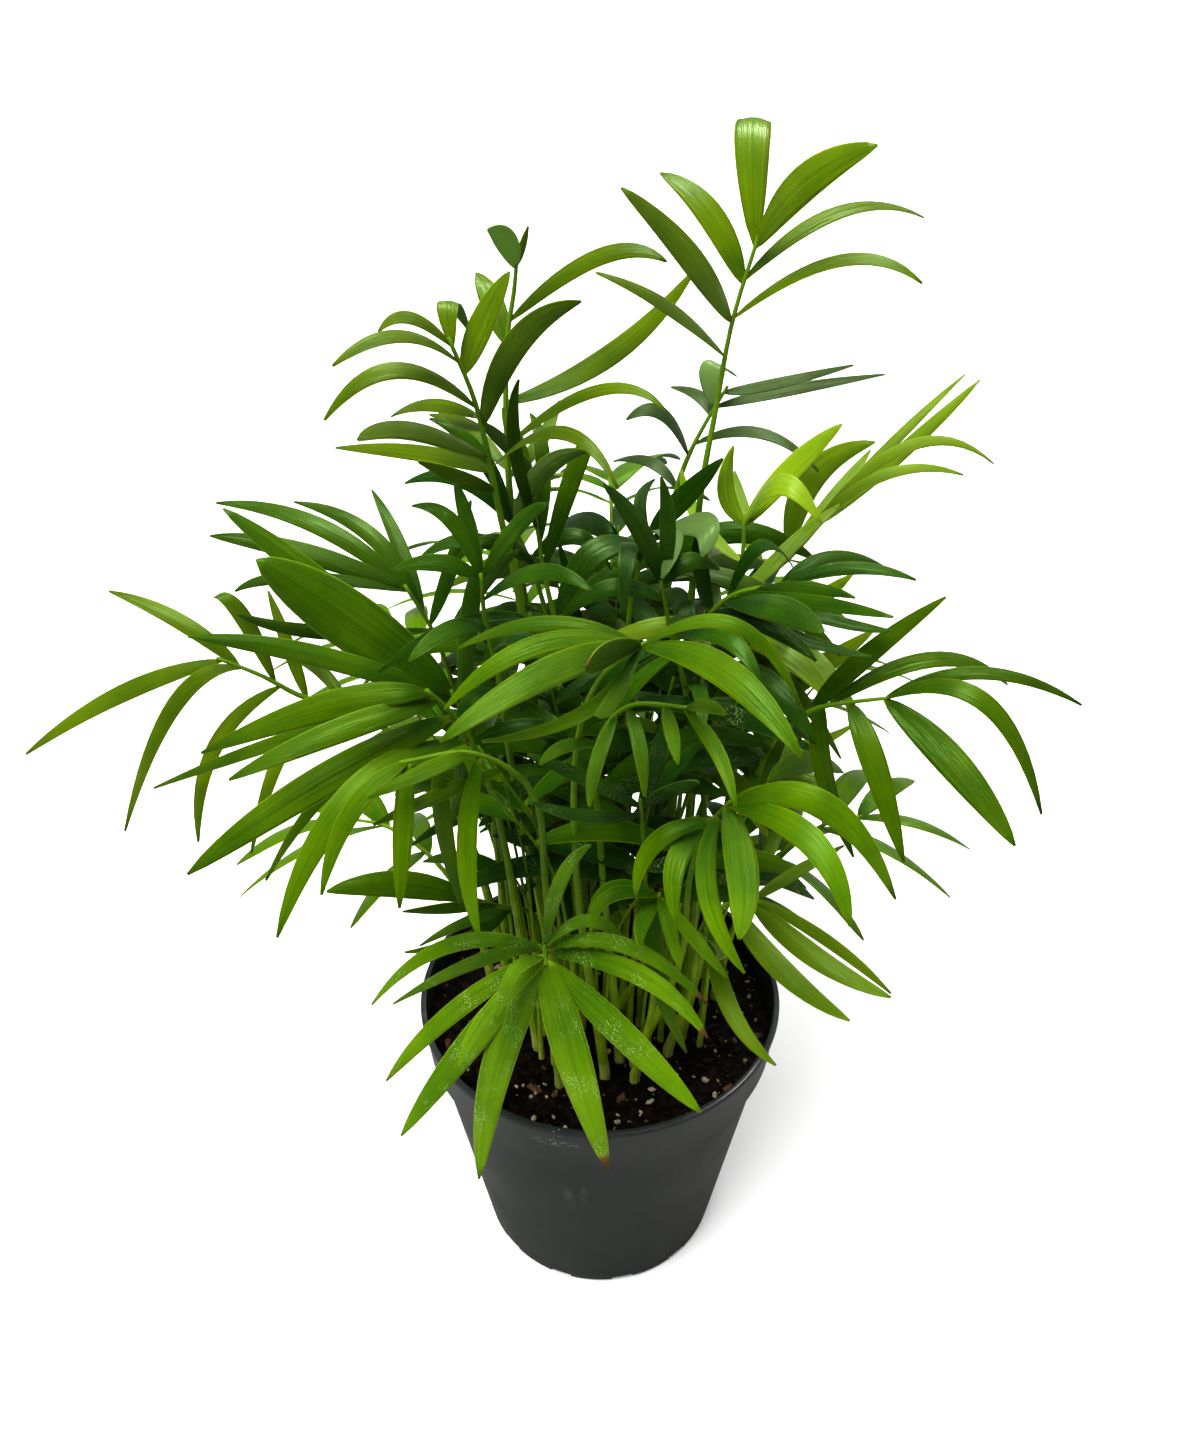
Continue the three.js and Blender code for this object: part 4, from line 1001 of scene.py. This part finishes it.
def placeShoots(g, feet, fronds, taken, dice):  # young stems between the fronds, with leaflets at their tops
    placed = 0
    while placed < g["count"]:
        radius, turn = g["reach"] * math.sqrt(dice.random()), dice.uniform(0, 2 * math.pi)
        foot = Vector((radius * math.cos(turn), radius * math.sin(turn))) + Vector(g["middle"])
        if any((foot - other).length < shoot["apart"] for other in feet):
            continue
        feet.append(foot)
        heading = math.atan2(foot.y, foot.x) + dice.uniform(-shoot["headingVaries"], shoot["headingVaries"])
        rise, lean = dice.uniform(*g["rise"]), dice.uniform(*g["lean"])
        out = Vector((math.cos(heading), math.sin(heading), 0)) * rise * lean
        start = Vector((*foot, stalk["start"]))
        curve = StalkCurve(foot, [start + out * r + Vector((0, 0, rise * h)) for r, h in shoot["points"]])
        lines = []
        for at, opening in shoot["leaflets"]:
            root = curve.at(at)
            tries = spreadBlades(root, heading + math.radians(opening), shoot, frontLight, dice, g["lift"])
            best = freest(tries, taken, shoot["mostShared"])
            if best:
                lines.append(best)
                taken |= cellsOf(*best)
        nearest = min(fronds, key=lambda name: (Vector(fronds[name]["foot"]) - foot).length)
        yield nearest, (curve, lines, dice.uniform(*shoot["slimness"]), g["tone"])
        placed += 1


def addLeaflet(bm, layers, line, width, marks, dice):
    b = blade
    made = bmesh.ops.create_grid(bm, x_segments=b["steps"], y_segments=b["lanes"], size=0.5, calc_uvs=True)
    fold, twist = dice.uniform(*b["fold"]), math.radians(dice.uniform(-1, 1) * b["twist"])
    phase = dice.uniform(0, b["wavePhases"])
    marks = dict(marks, tone=marks["tone"] + dice.uniform(-b["toneVaries"], b["toneVaries"]))
    length = (line[2] - line[0]).length
    faces = set()
    for v in made["verts"]:
        t, lane = v.co.x + 0.5, v.co.y * 2
        centre, along, side, face = bladeAt(line, t)
        half = max(halfWidth(width, t), b["pointWidth"])
        turn = twist * t * (1 - b["untwist"] * t)
        across = side * math.cos(turn) + face * math.sin(turn)
        up = face * math.cos(turn) - side * math.sin(turn)
        ridge = -fold * half * abs(lane) ** b["foldPower"]
        pleat = b["pleat"] * math.cos(lane * b["pleats"] * math.pi) * min(1, half / 2)
        ripple = b["wave"] * lane * math.sin(phase + t * length / b["waveLength"]) * min(1, half / 3)
        back = b["rootDepth"] if t < 0.001 else 0
        v.co = (centre - along * back - across * half * lane + up * (ridge - pleat + ripple)) * mm
        for key, value in marks.items():
            v[layers[key]] = value
        faces.update(v.link_faces)
    return faces


def addStalk(bm, curve, slimness, dice):
    steps, sides = stalk["steps"], stalk["sides"]
    made = bmesh.ops.create_grid(bm, x_segments=steps, y_segments=sides, size=0.5, calc_uvs=True)
    sheathTop = dice.uniform(*stalk["sheathLength"])
    upwards = Vector((0, 0, 1))
    level = (curve.points[-1] - curve.points[0]).cross(upwards)
    level = level if level.length > 1 else Vector((1, 0, 0))
    faces = set()
    for v in made["verts"]:
        u, turn = v.co.x + 0.5, (v.co.y + 0.5) * 2 * math.pi
        ring = round(u * steps)
        t = max(0, ring - 2) / (steps - 3)
        taper = (stalk["tipRadius"] - stalk["footRadius"]) * min(t, 1) ** stalk["taper"]
        radius = stalk["footRadius"] + taper
        if t < sheathTop:
            radius *= stalk["sheathSwell"]
        radius *= slimness
        if ring == 0 or ring == steps:
            radius = 0  # closed ends
        centre, way = curve.at(t), curve.way(t)
        if ring < 2:
            centre, way = Vector((centre.x, centre.y, stalk["foot"])), upwards
        across = (level - way * level.dot(way)).normalized()
        v.co = (centre + (across * math.cos(turn) + way.cross(across) * math.sin(turn)) * radius) * mm
        faces.update(v.link_faces)
    for face in faces:
        face.material_index = 2
        face.smooth = True
    bmesh.ops.remove_doubles(bm, verts=list({v for f in faces for v in f.verts}), dist=1e-7)


leafKinds = {  # the fronds whose green differs from their slot's
    "frond_top_right": "olive", "frond_upper_left": "olive", "frond_spear_left": "olive",
    "frond_left_arm": "olive", "frond_right_low": "olive", "frond_left_upper": "rich",
    "frond_left_broad": "rich", "frond_bottom_front": "speckled", "frond_speckled_small": "spotted",
}
frondTonesAndShading = {  # over 0 is lighter, under 0 darker; partly the fronds' own green, partly painted shade on fronds deep in the clump and painted light on fronds that catch little light
    "frond_right_arm": -1.4, "frond_left_arm": -0.2, "frond_top_right": 0.4, "frond_upper_left": -0.2,
    "frond_front_bright": -0.5, "frond_left_hanging": -0.6, "frond_front_inner": -0.4,
    "frond_young_centre": -1.1, "frond_left_upper": -0.5, "frond_left_broad": 0.9, "frond_right_low": 0.5,
    "frond_left_low": -0.9, "frond_right_dark": -0.6, "frond_centre_back": -0.9, "frond_yellow_green": 0.9,
    "frond_bottom_front": 0.6,
}
# the first spear leaflet is darker; the second is lightened as painted light on a leaf that gets little light
leafletTonesAndShading = {("frond_spear_left", 0): -1.6, ("frond_spear_left", 1): 2.4}
dryTips = {"frond_bottom_front": (1, 7, 8), "frond_front_bright": (2,)}  # leaflets by number
paleTurned = {"frond_centre_back": (4, 5), "frond_spear_left": (1,), "frond_top_right_back": (0,)}


def buildFrond(name, frond, lines, shoots, dice):
    bm = bmesh.new()
    bm.loops.layers.uv.new("leafUv")
    layers = {key: bm.verts.layers.float.new(key) for key in ("tone", "dry", "pale")}
    leafFaces = set()
    for i, (line, width) in enumerate(lines):
        tone = leafletTonesAndShading.get((name, i), frondTonesAndShading.get(name, 0))
        marks = {"tone": tone, "dry": i in dryTips.get(name, ()), "pale": i in paleTurned.get(name, ())}
        leafFaces |= addLeaflet(bm, layers, line, width, marks, dice)
    for curve, shootLines, slimness, tone in shoots:
        for line, width in shootLines:
            leafFaces |= addLeaflet(bm, layers, line, width, {"tone": tone, "dry": 0, "pale": 0}, dice)
    made = bmesh.ops.solidify(bm, geom=list(leafFaces), thickness=blade["thickness"] * mm)
    unders = {g for g in made["geom"] if isinstance(g, bmesh.types.BMFace)}
    for face in bm.faces:  # the thin edge stays flat
        face.smooth = face in leafFaces or face in unders
        face.material_index = 1 if face in unders else 0
    addStalk(bm, frond["curve"], 1, dice)
    for curve, shootLines, slimness, tone in shoots:
        addStalk(bm, curve, slimness, dice)
    bmesh.ops.recalc_face_normals(bm, faces=bm.faces)
    top, under = leafMaterials[leafKinds.get(name, frond["leaf"])]
    addPiece(name + "_grown", bm, (top, under, stalkMaterial), (name,))


growthSeed = 27
dice = random.Random(growthSeed)
draws = drawFrom(arching["seed"])
allFronds = dict(mainFronds)
allFronds.update({name: writeOut(f, draws) for name, f in fillingFronds.items()})
bladeLines, taken, missedLeaflets, extraLeaflets = {}, set(), 0, 0
for name, frond in allFronds.items():
    frond["curve"] = StalkCurve(frond["foot"], frond["stalk"])
    frond.setdefault("light", frontLight)
    bladeLines[name], missed = fromSolid(name, frond)
    missedLeaflets += missed
    for line, width in bladeLines[name]:
        taken |= cellsOf(line, width)
for name, frond in allFronds.items():
    added = list(looseLines(frond, taken))
    if name not in crowd["skipped"]:
        added += crowdFrond(frond, bladeLines[name], taken, dice)
    bladeLines[name] += added
    extraLeaflets += len(added)
shoots = {name: [] for name in allFronds}
feet = [Vector(f["foot"]) for f in allFronds.values()]
for group in shoot["groups"]:
    for name, young in placeShoots(group, feet, allFronds, taken, dice):
        shoots[name].append(young)
for name, frond in allFronds.items():
    buildFrond(name, frond, bladeLines[name], shoots[name], dice)
print("fronds grown:", len(allFronds), "leaflets:", sum(map(len, bladeLines.values())))
print("of them extra:", extraLeaflets, "and not in the solids:", missedLeaflets)
print("leaflets on young stems:", sum(len(young[1]) for group in shoots.values() for young in group))


pot = {  # millimetres for the shape, metres for the places of its rub and dust
    "height": 130, "rim": 76, "collar": 20, "collarFoot": 73.5, "bodyTop": 71, "base": 53, "wall": 1.5,
    "floor": 2, "lipWidth": 2.6, "lipDrop": 1.6, "lipRound": 0.5, "lipLean": 1, "stepDrop": 0.8, "heel": 1.6,
    "rounding": 0.35, "steps": 144, "sharpAngle": 32, "wallRings": (0.06, 0.12, 0.3, 0.5, 0.7, 0.88),
    "slots": 12, "slotWidth": 9.5, "slotHeight": 3.4, "slotDepth": 6, "slotTurn": 10.7,
    "colour": (0.024, 0.029, 0.0275, 1), "haze": (0.042, 0.047, 0.045, 1), "dust": (0.22, 0.23, 0.22, 1),
    "streakStretch": (1, 1, 0.16), "streakScale": 130, "cloudScale": 22, "nearRim": (0.098, 0.124),
    "scuffShare": 0.3, "scuffDulls": 0.2, "rimShines": 0.1, "speckScale": 420.0, "patchScale": 48,
    "speckDulls": 0.3, "grainScale": 900, "grainDepth": 0.35, "cloudDepth": 1.5,
    "rubX": -0.017, "rubZ": 0.1215, "rubLong": 0.014, "rubHigh": 0.003, "rubFront": (-0.02, 0.0),
    "fleckScale": 620,
}


def spinProfile(bm, outline, steps):  # outline as radius and height, from the axis back to the axis
    verts = [bm.verts.new((r * mm, 0, z * mm)) for r, z in outline]
    edges = [bm.edges.new(pair) for pair in zip(verts, verts[1:])]
    bmesh.ops.spin(
        bm, geom=verts + edges, axis=(0, 0, 1), cent=(0, 0, 0), angle=2 * math.pi,
        steps=steps, use_merge=True,
    )
    bmesh.ops.remove_doubles(bm, verts=bm.verts, dist=1e-6)
    bmesh.ops.recalc_face_normals(bm, faces=bm.faces)


def softCorners(outline, rounding):  # each inner corner becomes three points on a small arc
    soft = [outline[0]]
    for before, corner, after in zip(outline, outline[1:], outline[2:]):
        a, b, c = (Vector(p) for p in (before, corner, after))
        size = min(rounding, (a - b).length * 0.4, (c - b).length * 0.4)
        start, end = b + (a - b).normalized() * size, b + (c - b).normalized() * size
        soft += [tuple(start), tuple((start + end + 2 * b) / 4), tuple(end)]
    return soft + [outline[-1]]


def shadeByAngle(bm, degrees):
    for face in bm.faces:
        face.smooth = True
    for edge in bm.edges:
        edge.smooth = edge.calc_face_angle(0) < math.radians(degrees)


def potOutline(p):
    foot = p["height"] - p["collar"]
    lipLow = p["height"] - p["lipDrop"]
    low, high = Vector((p["base"], p["heel"])), Vector((p["bodyTop"], foot - p["stepDrop"]))
    wall = [tuple(low.lerp(high, share)) for share in p["wallRings"]]
    outside = [
        (0, 0), (p["base"] - p["heel"], 0), tuple(low), *wall, tuple(high), (p["collarFoot"], foot),
        (p["rim"] - p["lipLean"], lipLow - p["lipRound"]), (p["rim"], lipLow),
        (p["rim"] - p["lipRound"], p["height"]), (p["rim"] - p["lipWidth"], p["height"]),
    ]
    inside = [
        (p["collarFoot"] - p["wall"], foot + p["wall"]), (p["bodyTop"] - p["wall"], foot - p["stepDrop"]),
        (p["base"] - p["wall"], p["floor"]), (0, p["floor"]),
    ]
    return outside + inside


def buildPotGroup(p):
    group, ins = newGroup("mouldedPlastic", ("Plastic", "Haze", "Dust"))
    place = addNode(group, "ShaderNodeTexCoord").outputs["Object"]
    x, y, level = partsOf(group, place)
    streaked = addNode(group, "ShaderNodeMapping", {"Vector": place, "Scale": p["streakStretch"]}).outputs[0]
    streaks = noiseOf(group, streaked, p["streakScale"], 5.0, 0.6)
    clouds = noiseOf(group, place, p["cloudScale"], 4.0, 0.55)
    nearRim = rampOf(group, level, *p["nearRim"])
    haze = times(group, rampOf(group, clouds, 0.42, 0.7), rampOf(group, nearRim, 0.0, 1.0, 0.35, 0.8))
    colour = mixColour(group, haze, ins["Plastic"], ins["Haze"])
    scuffs = times(group, rampOf(group, streaks, 0.6, 0.72), rampOf(group, clouds, 0.45, 0.6))
    colour = mixColour(group, times(group, scuffs, p["scuffShare"]), colour, ins["Dust"])

    # one pale rub on the front of the collar
    aside = calc(group, "ABSOLUTE", minus(group, x, p["rubX"]))
    above = calc(group, "ABSOLUTE", minus(group, level, p["rubZ"]))
    across = rampOf(group, aside, 0.0, p["rubLong"], 1.0, 0.0)
    rubbed = times(group, across, rampOf(group, above, 0.0, p["rubHigh"], 1.0, 0.0))
    rubbed = times(group, rubbed, rampOf(group, y, *p["rubFront"], 1.0, 0.0))
    flecks = rampOf(group, noiseOf(group, place, p["fleckScale"]), 0.46, 0.62)
    colour = mixColour(group, times(group, rubbed, flecks), colour, ins["Dust"])

    # specks of dust near the rim
    specks = rampOf(group, cellsAt(group, place, p["speckScale"]), 0.1, 0.2, 1.0, 0.0)
    patch = times(group, rampOf(group, noiseOf(group, place, p["patchScale"], 2.0), 0.56, 0.66), nearRim)
    speckShare = times(group, specks, patch)
    colour = mixColour(group, speckShare, colour, ins["Dust"])

    rough = plus(group, rampOf(group, clouds, 0.25, 0.75, 0.36, 0.5), times(group, scuffs, p["scuffDulls"]))
    rough = minus(group, rough, times(group, nearRim, p["rimShines"]))
    rough = plus(group, rough, times(group, speckShare, p["speckDulls"]))
    grain = times(group, noiseOf(group, place, p["grainScale"], 2.0), p["grainDepth"])
    return closeGroup(group, colour, rough, plus(group, grain, times(group, clouds, p["cloudDepth"])))


def slotCutters(p):  # one block for each drainage slot through the heel
    bm = bmesh.new()
    size = [side * mm for side in (p["slotWidth"], p["slotDepth"] * 2, p["slotHeight"] * 2)]
    for i in range(p["slots"]):
        made = bmesh.ops.create_cube(bm, size=1)
        bmesh.ops.scale(bm, verts=made["verts"], vec=size)
        bmesh.ops.translate(bm, verts=made["verts"], vec=(0, -p["base"] * mm, 0))
        turn = math.radians(p["slotTurn"] + 360 * i / p["slots"])
        bmesh.ops.rotate(bm, verts=made["verts"], cent=(0, 0, 0), matrix=Matrix.Rotation(turn, 3, "Z"))
    mesh = bpy.data.meshes.new("slotCutters")
    bm.to_mesh(mesh)
    bm.free()
    return bpy.data.objects.new("slotCutters", mesh)


def cutSlots(piece, p):
    cutter = slotCutters(p)
    bpy.context.scene.collection.objects.link(cutter)
    cut = piece.modifiers.new("slots", "BOOLEAN")
    cut.operation, cut.object, cut.solver = "DIFFERENCE", cutter, "EXACT"
    bpy.context.view_layer.update()
    whole = bpy.data.meshes.new_from_object(piece.evaluated_get(bpy.context.evaluated_depsgraph_get()))
    piece.modifiers.clear()
    piece.data = whole
    bpy.data.objects.remove(cutter)
    bm = bmesh.new()
    bm.from_mesh(whole)
    bmesh.ops.remove_doubles(bm, verts=bm.verts, dist=1e-6)
    shadeByAngle(bm, p["sharpAngle"])
    bm.to_mesh(whole)
    bm.free()


def buildPot(p):
    material = newMaterial(
        "blackPotPlastic", buildPotGroup(p), {"Plastic": p["colour"], "Haze": p["haze"], "Dust": p["dust"]},
        bumpDistance=0.0002, bumpStrength=0.5, Specular_IOR_Level=0.45,
    )
    bm = bmesh.new()
    spinProfile(bm, softCorners(potOutline(p), p["rounding"]), p["steps"])
    shadeByAngle(bm, p["sharpAngle"])
    cutSlots(addPiece("nursery_pot", bm, (material,), ("pot",)), p)


buildPot(pot)
print("pot made")


peat = {
    "level": 118, "gap": 0.4, "rings": 46, "steps": 132, "sharpAngle": 60, "fade": 10,
    "humps": 1.1, "waves": (0.31, 0.27, 0.43), "waveStart": 1.2, "slantShare": 0.6,
    "lumps": 1.0, "lumpScale": 0.22, "crumble": 0.45, "crumbleScale": 0.75,
    "fineCrumble": 0.2, "fineScale": 1.7, "grain": 210.0, "rough": 0.82,
    "colour": (0.003, 0.0022, 0.0015, 1), "brown": (0.016, 0.010, 0.006, 1),
}


def peatRadius(z):  # just inside the pot's inner wall
    foot = pot["height"] - pot["collar"]
    wall = [(pot["base"], pot["floor"]), (pot["bodyTop"], foot - pot["stepDrop"])]
    wall.append((pot["collarFoot"], foot + pot["wall"]))
    wall = [(r - pot["wall"], h) for r, h in wall] + [(pot["rim"] - pot["lipWidth"], pot["height"])]
    for (lowR, low), (highR, high) in zip(wall, wall[1:]):
        if z <= high:
            return lowR + (highR - lowR) * (z - low) / (high - low) - peat["gap"]


def peatHeight(x, y):
    p = peat
    fade = min(max((peatRadius(p["level"]) - math.hypot(x, y)) / p["fade"], 0), 1)
    waveX, waveY, slant = p["waves"]
    crossed = math.sin(x * waveX + p["waveStart"]) * math.cos(y * waveY)
    humps = crossed + p["slantShare"] * math.sin((x + y) * slant)
    lumps = noise.noise(Vector((x, y, 0)) * p["lumpScale"]) * p["lumps"]
    crumble = noise.noise(Vector((x, y, 5)) * p["crumbleScale"]) * p["crumble"]
    fine = noise.noise(Vector((x, y, 9)) * p["fineScale"]) * p["fineCrumble"]
    return p["level"] + humps * p["humps"] * fade + lumps + (crumble + fine)


def buildEarthGroup():
    group, ins = newGroup("looseEarth", ("Main", "Other"), ("Scale", "Rough"))
    place = addNode(group, "ShaderNodeTexCoord").outputs["Object"]
    coarse = noiseOf(group, place, ins["Scale"], 5.0, 0.65)
    fine = noiseOf(group, place, times(group, ins["Scale"], 5.0), 3.0, 0.6)
    colour = mixColour(group, rampOf(group, coarse, 0.42, 0.66), ins["Main"], ins["Other"])
    colour = mixColour(group, rampOf(group, fine, 0.5, 0.75, 0.0, 0.6), colour, ins["Other"])
    rough = calc(group, "ADD", ins["Rough"], rampOf(group, fine, 0.3, 0.7, -0.12, 0.12), clamp=True)
    return closeGroup(group, colour, rough, plus(group, coarse, times(group, fine, 0.5)))


earthGroup = buildEarthGroup()


def buildPeat(p):
    bm = bmesh.new()
    edge = peatRadius(p["level"])
    top = [(edge * i / p["rings"], p["level"]) for i in range(p["rings"] + 1)]
    foot = pot["height"] - pot["collar"]
    wall = [(peatRadius(z), z) for z in (foot + pot["wall"], foot - pot["stepDrop"], pot["floor"] + p["gap"])]
    spinProfile(bm, top + wall + [(0, wall[-1][1])], p["steps"])
    for v in bm.verts:
        if v.co.z > (p["level"] - 0.1) * mm:
            v.co.z = peatHeight(v.co.x / mm, v.co.y / mm) * mm
    shadeByAngle(bm, p["sharpAngle"])
    values = {"Main": p["colour"], "Other": p["brown"], "Scale": p["grain"], "Rough": p["rough"]}
    material = newMaterial("darkPeat", earthGroup, values, bumpDistance=0.0012, Specular_IOR_Level=0.15)
    addPiece("peat", bm, (material,), ("soil",))


grains = {
    "perlite": {
        "count": 260, "size": (0.3, 1.45), "flat": 0.7, "sink": 0.25, "subdivisions": 2, "seed": 217,
        "colour": (0.42, 0.36, 0.25, 1), "deep": (0.16, 0.12, 0.07, 1),
    },
    "bark": {
        "count": 130, "size": (0.8, 3.4), "flat": 0.35, "sink": 0.2, "subdivisions": 1, "seed": 124,
        "colour": (0.12, 0.065, 0.03, 1), "deep": (0.035, 0.018, 0.010, 1),
    },
    "crumb": {
        "count": 650, "size": (0.7, 2.3), "flat": 0.7, "sink": 0.25, "subdivisions": 1, "seed": 155,
        "colour": (0.010, 0.0065, 0.004, 1), "deep": (0.003, 0.002, 0.0015, 1),
    },
}
grainShape = {
    "smallPower": 3, "stalkClear": 2.4, "edgeClear": 1, "long": (0.7, 1.6), "broad": (0.5, 1.0),
    "high": (0.6, 1.2), "lumps": 0.35, "lumpScale": 1.3, "lumpStep": 3.1, "lean": 0.4, "turn": 6.28,
    "sharpAngle": 50, "grain": 420.0, "rough": 0.85,
}


def scatterGrains(kind, g, s, feet):
    bm = bmesh.new()
    dice = random.Random(g["seed"])
    edge = peatRadius(peat["level"]) - s["edgeClear"]
    smallest, largest = g["size"]
    placed = 0
    while placed < g["count"]:
        size = smallest + (largest - smallest) * dice.random() ** s["smallPower"]
        radius, turn = (edge - size) * math.sqrt(dice.random()), dice.uniform(0, 2 * math.pi)
        x, y = radius * math.cos(turn), radius * math.sin(turn)
        if any(math.hypot(x - fx, y - fy) < size + s["stalkClear"] for fx, fy in feet):
            continue
        made = bmesh.ops.create_icosphere(bm, subdivisions=g["subdivisions"], radius=1)
        long, broad = dice.uniform(*s["long"]), dice.uniform(*s["broad"])
        stretch = Vector((long, broad, g["flat"] * dice.uniform(*s["high"])))
        seedPlace = Vector((placed * s["lumpStep"], 0, 0))
        for v in made["verts"]:
            v.co *= 1 + s["lumps"] * noise.noise(v.co * s["lumpScale"] + seedPlace)
        bmesh.ops.scale(bm, verts=made["verts"], vec=stretch * size * mm)
        leanX, leanY = dice.uniform(-s["lean"], s["lean"]), dice.uniform(-s["lean"], s["lean"])
        turned = Euler((leanX, leanY, dice.uniform(0, s["turn"]))).to_matrix()
        bmesh.ops.rotate(bm, verts=made["verts"], cent=(0, 0, 0), matrix=turned)
        z = peatHeight(x, y) + size * stretch.z * (1 - 2 * g["sink"]) * 0.5
        bmesh.ops.translate(bm, verts=made["verts"], vec=Vector((x, y, z)) * mm)
        placed += 1
    shadeByAngle(bm, s["sharpAngle"])
    values = {"Main": g["colour"], "Other": g["deep"], "Scale": s["grain"], "Rough": s["rough"]}
    material = newMaterial(kind + "Grain", earthGroup, values, bumpDistance=0.0004)
    addPiece(kind + "_grains", bm, (material,))


buildPeat(peat)
stalkFeet = [f["foot"] for f in allFronds.values()]
for kind, g in grains.items():
    scatterGrains(kind, g, grainShape, stalkFeet)
print("peat, perlite and bark made")


floorFinish = {"size": 80, "seen": (0.97, 0.97, 0.965, 1), "bounced": (0.25, 0.25, 0.24, 1), "rough": 0.7}


def buildFloor(f):
    bm = bmesh.new()
    bmesh.ops.create_grid(bm, x_segments=1, y_segments=1, size=f["size"] / 2)
    mesh = bpy.data.meshes.new("floor")
    bm.to_mesh(mesh)
    bm.free()
    material = bpy.data.materials.new("paleFloor")
    material.use_nodes = True
    tree = material.node_tree
    shader = tree.nodes["Principled BSDF"]
    isSeen = addNode(tree, "ShaderNodeLightPath").outputs["Is Camera Ray"]
    floorColour = mixColour(tree, isSeen, f["bounced"], f["seen"])  # it throws little light back up
    tree.links.new(floorColour, shader.inputs["Base Color"])
    shader.inputs["Roughness"].default_value = f["rough"]
    mesh.materials.append(material)
    floor = bpy.data.objects.new("floor", mesh)
    bpy.context.scene.collection.objects.link(floor)


buildFloor(floorFinish)
